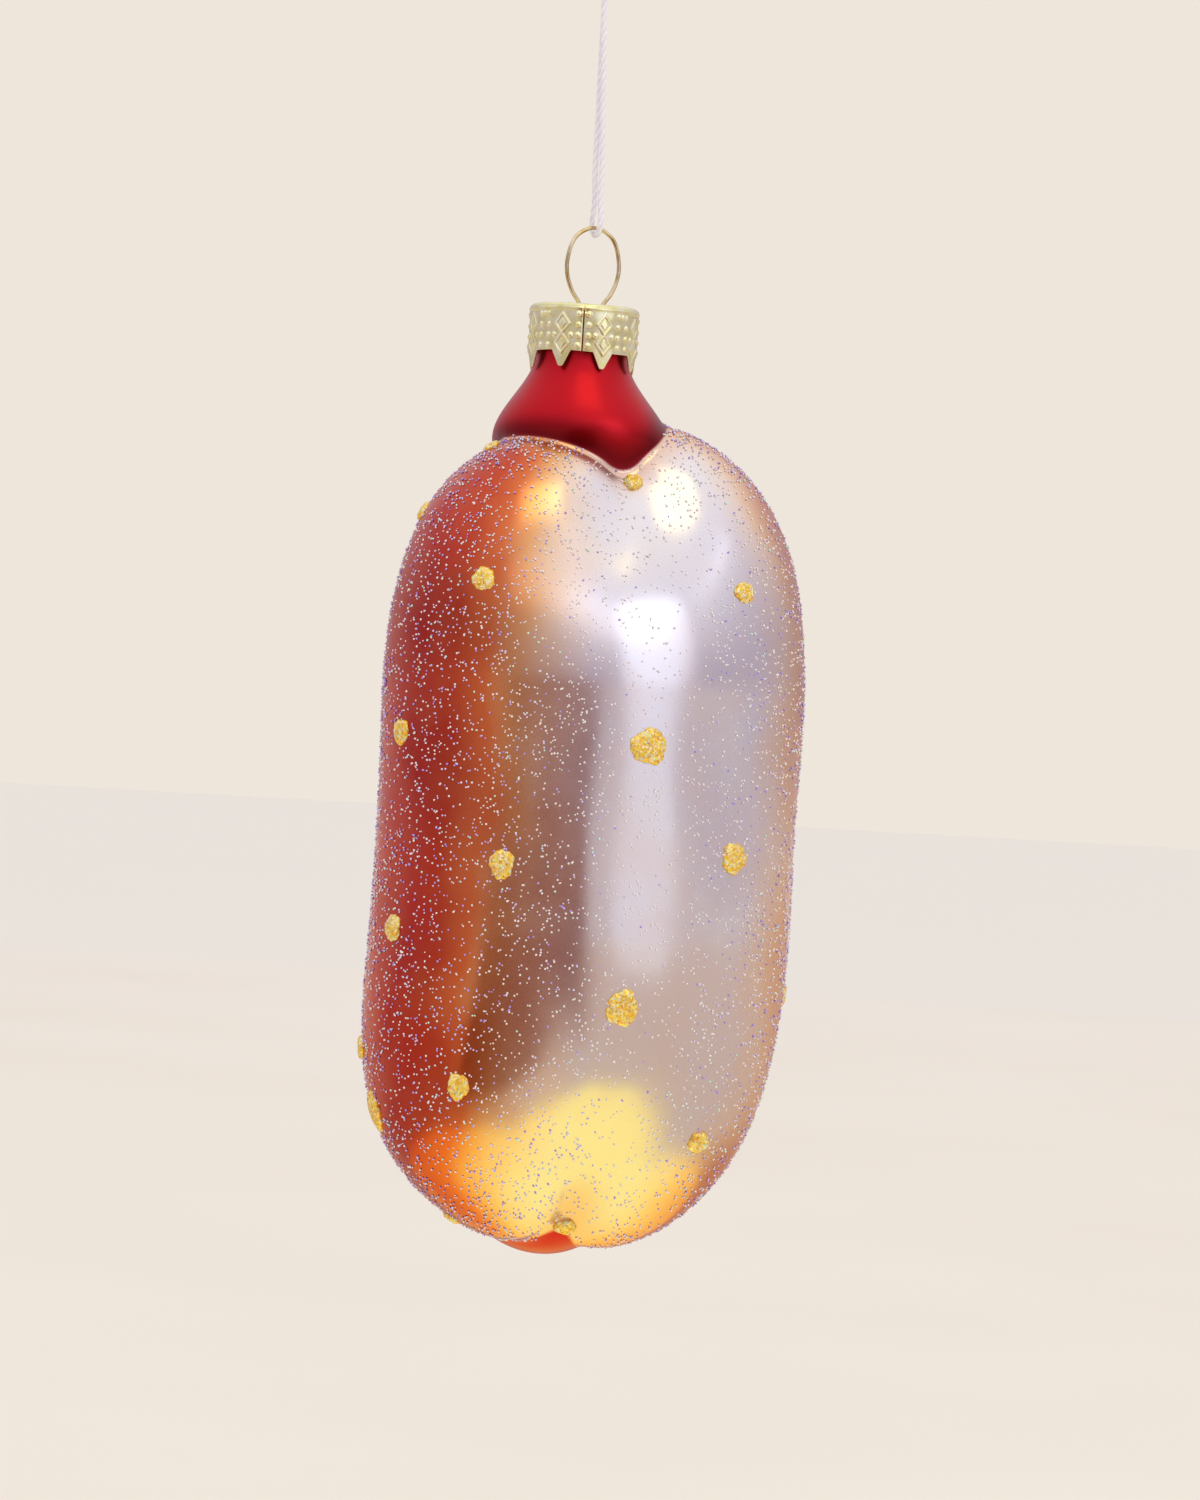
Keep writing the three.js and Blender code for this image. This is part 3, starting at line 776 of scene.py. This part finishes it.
def outward(points):
    """The way out of the glass at points, as the slope of its shape."""
    slopes = [shape_at(points + shift) - shape_at(points - shift) for shift in slope_step * np.eye(3)]
    return unit(np.stack(slopes, -1))


def settle(points, lift):
    """Moves points along the way out until they stand at a lift above the skin."""
    for step in range(settle_steps):
        error = shape_at(points) - lift
        points = points - error[..., None] * outward(points)
    return points


def ray_rows(foot_rows, side_rows, top_rows, neck_rows):
    """Heights and rises of rays from the foot, up the side and over the shoulder to the rim."""
    climbed = np.linspace(0, 1, neck_rows)
    heights = [np.full(foot_rows, spine_foot), np.linspace(spine_foot, spine_top, side_rows, endpoint=False),
               np.full(top_rows, spine_top), spine_top + climbed * (neck_top - spine_top)]
    rises = [np.linspace(-90, 0, foot_rows, endpoint=False), np.zeros(side_rows),
             np.linspace(0, spine_rise, top_rows, endpoint=False), spine_rise * (1 - climbed**1.6)]
    return np.concatenate(heights)[:, None], np.concatenate(rises)[:, None]


def in_frame(points):
    """Points whose heights are above the glass's foot, put in the part's frame."""
    return points + np.array((0, 0, glass_foot))


glass_turns = np.linspace(-90, 270, glass_columns, endpoint=False)[None]
outer_heights, outer_rises = ray_rows(70, 100, 58, 62)
inner_heights, inner_rises = ray_rows(12, 10, 12, 34)
outer_skin = skin_points(outer_heights, outer_rises, glass_turns)
inner_skin = skin_points(inner_heights, inner_rises, glass_turns, glass_wall)


def make_glass():
    """The shell: the outer skin from its lowest point to the rim, and the inner skin back down.
    Each skin's lowest ring is one point, closed by a fan."""
    rings = np.concatenate([outer_skin[1:], inner_skin[:0:-1]])
    feet = np.stack([outer_skin[0, 0], inner_skin[0, 0]])
    count, columns = rings.shape[:2]
    first, tip = np.arange(columns), count * columns
    walls = wall_faces(count, columns)
    fans = fan_faces(tip, first[::-1]), fan_faces(tip + 1, first + tip - columns)
    points = np.concatenate([rings.reshape(-1, 3), feet])
    glass = make_piece("blown_glass", make_glass_material(), in_frame(points), walls, *fans)
    x, y, z = points.T
    side = bun_side(x, y, z)
    near_foot = 1 - ease(bun_foot + 5 * mm, bun_foot + 19 * mm, z)
    near_top = ease(bun_top - 18 * mm, bun_top - 6 * mm, z)
    shift = foot_paint_shift * near_foot + top_paint_shift * near_top
    set_numbers(glass, "bun_side", side / mm)
    set_numbers(glass, "paint_turn", turn_round(x, y) + shift)
    # Painted shade: the red darkens over the last few millimetres before the crease, and fades out towards
    # the foot.
    set_numbers(glass, "crease_shade_share", ease(-3.5 * mm, -0.5 * mm, side) * ease(spine_foot, spine_top, z))
    return glass

crust_rim = (0.66, 0.11, 0.08, 1)
crust_deep = (0.50, 0.035, 0.028, 1)
crust_brown = (0.52, 0.05, 0.02, 1)
crust_orange = (0.68, 0.15, 0.045, 1)
crust_tan = (0.80, 0.40, 0.17, 1)
peach = (0.84, 0.58, 0.40, 1)
pearl_warm = (0.85, 0.71, 0.64, 1)
pearl = (0.80, 0.77, 0.84, 1)
crust_rose = (0.74, 0.38, 0.24, 1)
sausage_red = (0.54, 0.005, 0.014, 1)
# The red darkened towards the crease, as painted shade.
shaded_crease_red = (0.20, 0.002, 0.008, 1)
paint_stops = [(-180, crust_brown), (-120, crust_deep), (2, crust_rim), (16, crust_deep), (29, crust_brown),
               (38, crust_orange), (46, crust_tan), (53, peach), (61, pearl_warm), (71, pearl), (131, pearl),
               (141, pearl_warm), (148, peach), (157, crust_rose), (168, crust_orange), (180, crust_brown)]


def make_glass_material():
    """Satin lacquer over silvering. The bun's paint goes by the turn round the spine, from crust
    at the sides to pearl along the hinge, with airbrushed edges. The sausage and neck are red,
    with painted shade darkening the red towards the crease."""
    material, tree = new_material("painted_glass")
    drift = remap(tree, add_noise(tree, 55.0, 2.0), 0.3, 0.7, -5, 5)
    wandering = calculate(tree, "ADD", read_number(tree, "paint_turn"), drift)
    share = remap(tree, wandering, -180.0, 180.0)
    bun = ramp_colours(tree, share, [((turn + 180) / 360, colour) for turn, colour in paint_stops])

    side = read_number(tree, "bun_side")
    near_red = remap(tree, side, 0.2, 4.5, 0.55, 0.0, smooth=True)
    bun = mix_colours(tree, near_red, bun, crust_tan)
    height, patches = add_grain(tree, 1400, 0.12)
    smudge = remap(tree, patches, 0.35, 0.7, 0.0, 0.1)
    bun = mix_colours(tree, smudge, bun, crust_tan)
    # Painted shade: the red darkens towards the crease.
    red = mix_colours(tree, read_number(tree, "crease_shade_share"), sausage_red, shaded_crease_red)
    colour = mix_colours(tree, remap(tree, side, -0.2, 0.2, smooth=True), red, bun)
    satin = remap(tree, side, -0.2, 0.2, 0.12, 0.0)
    roughness = calculate(tree, "ADD", remap(tree, patches, 0.3, 0.7, 0.18, 0.25), satin)
    normal = add_bump(tree, height, 0.08, 0.02 * mm)
    finish_material(tree, Base_Color=colour, Metallic=0.92, Roughness=roughness, Coat_Weight=0.12,
                    Coat_Roughness=0.2, Normal=normal)
    return material


glass = make_glass()
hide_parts("glass_body")
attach(glass, "glass")


# Glitter beads. Tiny glass beads dusted on the wet lacquer of the bun, thickest near its edges,
# with a few over the edge of the red.
beads_per_coat = 9000
bead_smallest = 0.09 * mm
bead_largest = 0.155 * mm
bead_sunk = 0.35
pearl_middle = 95
bead_tints = np.array([(0.97, 0.96, 0.97), (0.98, 0.91, 0.93), (0.76, 0.68, 1.0), (0.50, 0.38, 1.0),
                       (0.62, 1.0, 0.90)])
tints_on_pearl = np.array((0.62, 0.30, 0.06, 0.01, 0.01))
tints_on_crust = np.array((0.26, 0.12, 0.32, 0.23, 0.07))
rng = np.random.default_rng(11)


def bead_form():
    """A twenty-sided bead of radius 1: two poles and two rings of five, half a step apart."""
    angle = full_turn(10)
    ring = np.stack([2 * np.cos(angle), 2 * np.sin(angle), np.tile((1, -1), 5)], -1) / math.sqrt(5)
    points = np.concatenate([[(0, 0, 1)], ring[::2], ring[1::2], [(0, 0, -1)]])
    upper = 1 + np.arange(5)
    lower = upper + 5
    after = np.roll(upper, -1)
    down = np.stack([upper, lower, after], -1)
    back_up = np.stack([after, lower, after + 5], -1)
    return points, np.concatenate([fan_faces(0, upper), down, back_up, fan_faces(11, lower[::-1])])


def scatter_on_skin(skin, weight, count):
    """Random places on a skin's cells, as likely as their area times their weight."""
    corners = [skin[:-1], np.roll(skin, -1, 1)[:-1], np.roll(skin, -1, 1)[1:], skin[1:]]
    area = np.linalg.norm(np.cross(corners[2] - corners[0], corners[3] - corners[1]), axis=-1)
    chance = (area * weight).ravel()
    chosen = rng.choice(len(chance), count, p=chance / chance.sum())
    a, b, c, d = (corner.reshape(-1, 3)[chosen] for corner in corners)
    u, v = rng.random((2, count, 1))
    return a * (1 - u) * (1 - v) + b * u * (1 - v) + c * u * v + d * (1 - u) * v


def near_pearl(x, y, spread):
    """1 in the middle of the pearl band along the hinge, and less to both sides of it."""
    return bell(turn_round(x, y) - pearl_middle, spread)


def bead_weight(skin):
    """How thickly beads lie on each cell: none on the red, patchy on the bun, most at its sides."""
    x, y, z = np.moveaxis((skin[:-1] + skin[1:]) / 2, -1, 0)
    on_bun = ease(-0.5 * mm, 0.3 * mm, bun_side(x, y, z))
    patches = 1 + 0.5 * np.sin(x / (2.3 * mm) + 1) * np.sin(z / (3.7 * mm)) * np.sin(y / (2.9 * mm) + 2)
    rim = 1 + 1.5 * ease(bun_top - 8 * mm, bun_top, z)
    return on_bun * patches * (1 - 0.6 * near_pearl(x, y, 32)) * rim


def make_beads(name, half):
    """One coat of beads, on one half of the bun."""
    middle_y = (outer_skin[:-1, :, 1] + outer_skin[1:, :, 1]) / 2
    weight = bead_weight(outer_skin) * (half * (middle_y - bun_y) > 0)
    places = scatter_on_skin(outer_skin, weight, beads_per_coat)
    radius = rng.uniform(bead_smallest, bead_largest, (beads_per_coat, 1))
    centres = places + outward(places) * radius * (1 - bead_sunk)
    form, faces = bead_form()
    spin = np.linalg.qr(rng.normal(size=(beads_per_coat, 3, 3)))[0]
    spin *= np.sign(np.linalg.det(spin))[:, None, None]
    points = centres[:, None] + radius[:, None] * np.einsum("nij,kj->nki", spin, form)
    numbers = faces + len(form) * np.arange(beads_per_coat)[:, None, None]
    beads = make_piece(name, bead_material, in_frame(points), numbers.reshape(-1, 3))
    on_crust = 1 - near_pearl(places[:, 0], places[:, 1], 45)[:, None]
    likely = tints_on_pearl + on_crust * (tints_on_crust - tints_on_pearl)
    drawn = (rng.random((beads_per_coat, 1)) > np.cumsum(likely, 1)).sum(1).clip(0, 4)
    tint = np.ones((beads_per_coat, len(form), 4))
    tint[..., :3] = bead_tints[drawn][:, None]
    attribute = beads.data.attributes.new("tint", "FLOAT_COLOR", "POINT")
    attribute.data.foreach_set("color", tint.astype(np.float32).ravel())
    return beads


def make_bead_material():
    """Beads that are white, rose, lilac, blue or green, each by its own tint, with a glassy coat."""
    material, tree = new_material("glitter_beads")
    tint = add_node(tree, "ShaderNodeAttribute", attribute_name="tint").outputs["Color"]
    roughness = remap(tree, add_grain(tree, 2000, 0.3)[1], 0.3, 0.7, 0.04, 0.16)
    finish_material(tree, Base_Color=tint, Roughness=roughness, IOR=1.5, Metallic=0.0, Coat_Weight=1.0,
                    Coat_Roughness=0.05)
    return material


bead_material = make_bead_material()
for bead_name, bead_half in (("bead_coat_back", 1), ("bead_coat_front", -1)):
    bead_coat = make_beads(bead_name, bead_half)
    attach(bead_coat, "glass")


# Seeds. Dabs of yellow glitter glue put on by hand over the lacquer. Each is a low uneven dome
# of coarse grains that stands about half a millimetre proud.
seed_height = 0.62 * mm
seed_grain = 0.17 * mm
seed_columns = 44
seed_rings = 15
lip_seed_rows = 5
# Each seed's turn about the spine in degrees, its climb up the spine as a share, its rise above
# level in degrees, and its width and length in millimetres.
seed_names = ("turn", "climb", "rise", "wide", "long")
bun_seeds = [dict(zip(seed_names, numbers)) for numbers in (
    (2, 1, 54, 2.6, 2.2),
    (93, 1, 61, 2.4, 2.3),
    (-5, 1, 28, 2.6, 2.4),
    (34, 1, 9, 2.8, 2.9),
    (128, 1, 11.5, 2.9, 2.6),
    (10, 0.72, 0, 2.8, 3.1),
    (90, 0.72, 0, 4.6, 4.3),
    (45, 0.44, 0, 2.9, 3.6),
    (126, 0.48, 0, 3.8, 3.8),
    (12, 0.28, 0, 2.8, 3.3),
    (87, 0.135, 0, 4, 4.5),
    (-8, 0, 0, 2.8, 2.9),
    (35, 0, -8, 2.6, 3.3),
    (0, 0, -17, 3, 5.2),
    (133, 0, -26, 2.9, 2.8),
    (-1, 0, -56, 3, 2.2),
    (84, 0, -78, 2.8, 2.2),
)]
plain_seed = {"rise": 0, "wide": 2.7, "long": 3.2}
lip_seeds = []
for row in range(lip_seed_rows):
    climb = row / (lip_seed_rows - 1)
    lip_seeds.append({**plain_seed, "turn": 338 if row % 2 else 322, "climb": climb})
    lip_seeds.append({**plain_seed, "turn": 216 if row % 2 else 198, "climb": climb})
lip_seeds.append({**plain_seed, "turn": 172, "climb": 0.83})
lip_seeds.append({**plain_seed, "turn": 170, "climb": 0.17})


def grain_heights(places, centres, radius):
    """Height of a crust of round grains: at each place, the dome of the nearest grain."""
    apart = np.linalg.norm(places[:, None] - centres[None], axis=-1).min(1)
    return np.sqrt(np.clip(1 - (apart / radius) ** 2, 0, 1))


def make_seed(name, form):
    """A dab on the skin: rings from a foot just under the lacquer up over a flat dome, each out of
    round, with grains standing out of it."""
    height = spine_foot + form["climb"] * (spine_top - spine_foot)
    middle = skin_points(height, form["rise"], form["turn"])
    out = outward(middle)
    side = unit(np.cross((0, 0, 1), out))
    up = np.cross(out, side)
    angle = full_turn(seed_columns)
    share = np.linspace(1, 0, seed_rings + 1)[:-1, None] ** 0.8
    wobble = rng.uniform(0, 2 * np.pi, 3)
    uneven = 1 + 0.06 * np.sin(3 * angle + wobble[0]) + 0.05 * np.sin(5 * angle + wobble[1])
    uneven = uneven + 0.035 * np.sin(11 * angle + wobble[2])
    u = share * uneven * form["wide"] * mm * np.cos(angle) / 2
    v = share * uneven * form["long"] * mm * np.sin(angle) / 2
    flat = np.stack([u, v], -1).reshape(-1, 2)
    reach = max(form["wide"], form["long"]) * mm / 2
    grain_count = int(2.4 * (reach / seed_grain) ** 2)
    centres = rng.uniform(-1.1 * reach, 1.1 * reach, (grain_count, 2))
    grains = grain_heights(flat, centres, seed_grain * 1.15).reshape(u.shape)
    dome = seed_height * (1 - share**4) ** 0.6
    lift = dome * (0.72 + 0.1 * np.sin(4 * angle + wobble[1]) * share) + 0.16 * mm * grains * (1 - share**8)
    lift[0] = -0.08 * mm
    rings = settle(middle + u[..., None] * side + v[..., None] * up, lift)
    tip = settle(middle[None], np.array([0.8 * seed_height]))
    count, columns = lift.shape
    top = fan_faces(lift.size, np.arange(columns) + lift.size - columns)
    foot = np.arange(columns)[None, ::-1]
    points = np.concatenate([rings.reshape(-1, 3), tip])
    return make_piece(name, glue_material, in_frame(points), wall_faces(count, columns), top, foot)


def make_glue_material():
    """Yellow glue full of coarse glitter: cells of gold, pale yellow, white and a few of orange
    and green, some of them mirror bright."""
    material, tree = new_material("glitter_glue")
    place = add_node(tree, "ShaderNodeTexCoord").outputs["Object"]
    cells = add_node(tree, "ShaderNodeTexVoronoi", {"Vector": place, "Scale": 4200.0})
    parts = add_node(tree, "ShaderNodeSeparateColor", {0: cells.outputs["Color"]})
    gold, amber = (0.95, 0.58, 0.03, 1), (0.88, 0.45, 0.02, 1)
    lemon, cream = (0.98, 0.80, 0.14, 1), (0.98, 0.93, 0.62, 1)
    rust, mint = (0.85, 0.30, 0.05, 1), (0.55, 0.85, 0.62, 1)
    stops = [(0, amber), (0.25, gold), (0.6, lemon), (0.8, cream), (0.93, rust), (0.97, mint)]
    colour = ramp_colours(tree, parts.outputs[0], stops)
    roughness = remap(tree, parts.outputs[1], 0, 1, 0.12, 0.5)
    metallic = remap(tree, parts.outputs[2], 0.55, 0.6, 0, 0.6)
    cell_bump = add_bump(tree, cells.outputs["Distance"], 0.5, 0.05 * mm)
    normal = add_bump(tree, add_grain(tree, 5000, 0.3)[0], 0.3, 0.02 * mm, Normal=cell_bump)
    finish_material(tree, Base_Color=colour, Metallic=metallic, Roughness=roughness, Normal=normal,
                    Coat_Weight=0.4, Coat_Roughness=0.1)
    return material


glue_material = make_glue_material()
for number, form in enumerate(bun_seeds + lip_seeds, 1):
    seed = make_seed(f"glue_seed_{number:02d}", form)
    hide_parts(f"seed_{number:02d}")
    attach(seed, "glass")


# Mustard. A thick line of the same glue, squeezed on in waves down the front of the sausage.
mustard_width = 2.2 * mm
mustard_height = 0.95 * mm
mustard_swing = 3.6 * mm
mustard_waves = 5
mustard_foot = 14 * mm
mustard_top = bun_top - 11.5 * mm
mustard_rings = 620
mustard_sides = 18
mustard_grains = 3200


def mustard_middle(share):
    """The line on the skin: a sine wave across the front of the sausage as it climbs."""
    height = mustard_foot + share * (mustard_top - mustard_foot)
    bend = neck_bend(height)
    angle = -np.pi / 2 + mustard_swing * np.sin(share * mustard_waves * 2 * np.pi) / sausage_radius
    x = bun_x * bend + sausage_radius * np.cos(angle)
    y = sausage_y * bend + sausage_radius * np.sin(angle)
    return settle(np.stack([x, y, height], -1), np.zeros(share.shape))


def make_mustard():
    """A bead of glue: half-round sections across the line, thinner at the ends, with grains."""
    middle = mustard_middle(np.linspace(0, 1, mustard_rings))
    side = np.cross(unit(np.gradient(middle, axis=0)), outward(middle))
    turn = np.linspace(-0.12, 1.12, mustard_sides) * np.pi
    travelled = length_along(middle)[:, None]
    full = round_ends(middle, mustard_width, 0.02)
    swell = full * (1 + 0.08 * np.sin(travelled / (1.7 * mm)) * np.sin(travelled / (4.3 * mm)))
    across = swell * mustard_width / 2 * np.cos(turn)
    grains_along = rng.uniform(0, travelled[-1, 0], mustard_grains)
    grains_across = rng.uniform(-1.4, 1.4, mustard_grains) * mm
    centres = np.stack([grains_along, grains_across], -1)
    flat = np.stack(np.broadcast_arrays(travelled, across * 1.3), -1).reshape(-1, 2)
    near = np.concatenate([grain_heights(part, centres, seed_grain) for part in np.array_split(flat, 12)])
    lift = swell * mustard_height * 0.85 * np.sin(turn) + 0.12 * mm * near.reshape(across.shape) * full
    lift = np.where(np.sin(turn) < 0.01, -0.08 * mm, lift)
    rings = settle(middle[:, None] + across[..., None] * side[:, None], lift)
    return make_piece("mustard_bead", glue_material, in_frame(rings), *tube_faces(lift.shape))


mustard = make_mustard()
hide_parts("mustard_line")
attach(mustard, "glass")


# Studio. A wide pale floor under the ornament and soft lamps to the right of the camera and high
# up. Cards that show only in reflections give the lacquer a warm floor and a dark camera side.
floor_z = cad_low.z - 60 * mm
floor_reach = 8.0
floor_cream = (0.93, 0.90, 0.82, 1)
sky_top = (1.0, 0.98, 0.94, 1)
sky_high = (0.84, 0.81, 0.85, 1)
sky_level = (0.46, 0.39, 0.445, 1)
seen_pale = (0.86, 0.79, 0.71, 1)
camera_azimuth = math.degrees(view_turn)

floor_material, floor_tree = new_material("pale_floor")
floor_rough = remap(floor_tree, add_grain(floor_tree, 60, 0.1)[1], 0.3, 0.7, 0.65, 0.8)
finish_material(floor_tree, Base_Color=floor_cream, Roughness=floor_rough)
floor_corners = floor_reach * np.array([(-1, -1, 0), (1, -1, 0), (1, 1, 0), (-1, 1, 0)]) + (0, 0, floor_z)
floor = make_piece("floor", floor_material, floor_corners, np.array([(0, 1, 2, 3)]))


def soft_box(name, azimuth, elevation, distance, width, height, glow, colour):
    """An area lamp that faces the middle of the bun, with its angles in degrees as for a camera and
    its sizes in metres. glow is how bright its face is, where white paper in the plain light is
    about 1."""
    lamp = bpy.data.lights.new(name, "AREA")
    lamp.shape = "RECTANGLE"
    lamp.size = width
    lamp.size_y = height
    lamp.energy = glow * math.pi * width * height
    lamp.color = colour
    box = bpy.data.objects.new(name, lamp)
    turn, climb = math.radians(azimuth), math.radians(elevation)
    away = Vector((math.sin(turn) * math.cos(climb), -math.cos(turn) * math.cos(climb), math.sin(climb)))
    box.location = Vector((bun_x, 0, glass_foot + bun_top / 2)) + away * distance
    box.rotation_euler = away.to_track_quat("Z", "Y").to_euler()
    box.visible_camera = False
    bpy.context.scene.collection.objects.link(box)


# Each lamp's azimuth and elevation, its distance, its width and height, its glow and its colour.
soft_box("key_box", camera_azimuth + 45, 20, 1.3, 0.7, 0.74, 0.72, (0.84, 0.94, 1.0))
soft_box("side_box", camera_azimuth + 44, -1, 0.5, 0.24, 0.18, 0.28, (0.74, 0.90, 1.0))
soft_box("high_box", camera_azimuth + 22, 29, 1.3, 1.3, 0.26, 0.4, (1.0, 0.97, 0.94))
soft_box("warm_lamp", camera_azimuth + 14, 61, 1.2, 0.62, 0.46, 1.0, (1.0, 0.88, 0.28))


def reflected_card(name, corners, faces, colour, glow):
    """A card of even glow that shows only in reflections. Each corner says how far it is towards
    the camera, to the view's right and above the floor."""
    material, tree = new_material(name)
    finish_material(tree, Base_Color=(0, 0, 0, 1), Roughness=1.0, Emission_Color=colour,
                    Emission_Strength=glow)
    places = [Vector((bun_x, 0, floor_z + rise)) + backward * ahead + level_right * aside
              for ahead, aside, rise in corners]
    card = make_piece(name, material, np.array(places), np.array(faces))
    card.visible_camera = False
    card.visible_diffuse = False
    card.visible_shadow = False


# Each card lies just over the one before. The dark one stands up at its far edge, and the warm
# one is a disc under the ornament.
floor_card_rise = 3 * mm
dark_card_rise = 4 * mm
dark_near = 0.14
dark_far = 1.5
dark_top = 0.19
warm_card_rise = 5 * mm
warm_reach = 98 * mm
warm_corners = 24
reflected_card("floor_card", [(x, y, floor_card_rise) for x, y in ((-2, -2), (-2, 2), (2, 2), (2, -2))],
               [(0, 1, 2, 3)], (0.62, 0.47, 0.37, 1), 1.0)
reflected_card("dark_card", [(dark_near, -0.06, dark_card_rise), (dark_near, 0.055, dark_card_rise),
                             (dark_far, 0.46, dark_card_rise), (dark_far, -0.5, dark_card_rise),
                             (dark_far, 0.46, dark_top), (dark_far, 0.02, dark_top)],
               [(0, 1, 2, 3), (3, 2, 4, 5)], (0.21, 0.035, 0.004, 1), 1.0)
warm_circle = [(warm_reach * math.cos(turn), warm_reach * math.sin(turn), warm_card_rise)
               for turn in full_turn(warm_corners)]
reflected_card("warm_card", warm_circle, [tuple(range(warm_corners))], (1.0, 0.82, 0.21, 1), 1.25)


def make_world():
    """Plain pale light for the camera. For all else it is brighter overhead than at the horizon."""
    world = bpy.data.worlds.new("studio")
    bpy.context.scene.world = world
    world.use_nodes = True
    tree = world.node_tree
    tree.nodes.clear()
    direction = add_node(tree, "ShaderNodeTexCoord").outputs["Generated"]
    up = add_node(tree, "ShaderNodeSeparateXYZ", {0: direction}).outputs[2]
    sky_stops = [(0.56, sky_level), (0.80, sky_high), (0.96, sky_top)]
    sky = ramp_colours(tree, remap(tree, up, -1.0, 1.0), sky_stops)
    lit = add_node(tree, "ShaderNodeBackground", {"Color": sky, "Strength": 1.05})
    plain = add_node(tree, "ShaderNodeBackground", {"Color": seen_pale, "Strength": 1.0})
    seen = add_node(tree, "ShaderNodeLightPath").outputs["Is Camera Ray"]
    both = add_node(tree, "ShaderNodeMixShader", {0: seen, 1: lit.outputs[0], 2: plain.outputs[0]})
    add_node(tree, "ShaderNodeOutputWorld", {"Surface": both.outputs[0]})


make_world()
bpy.context.scene.view_settings.view_transform = "Standard"
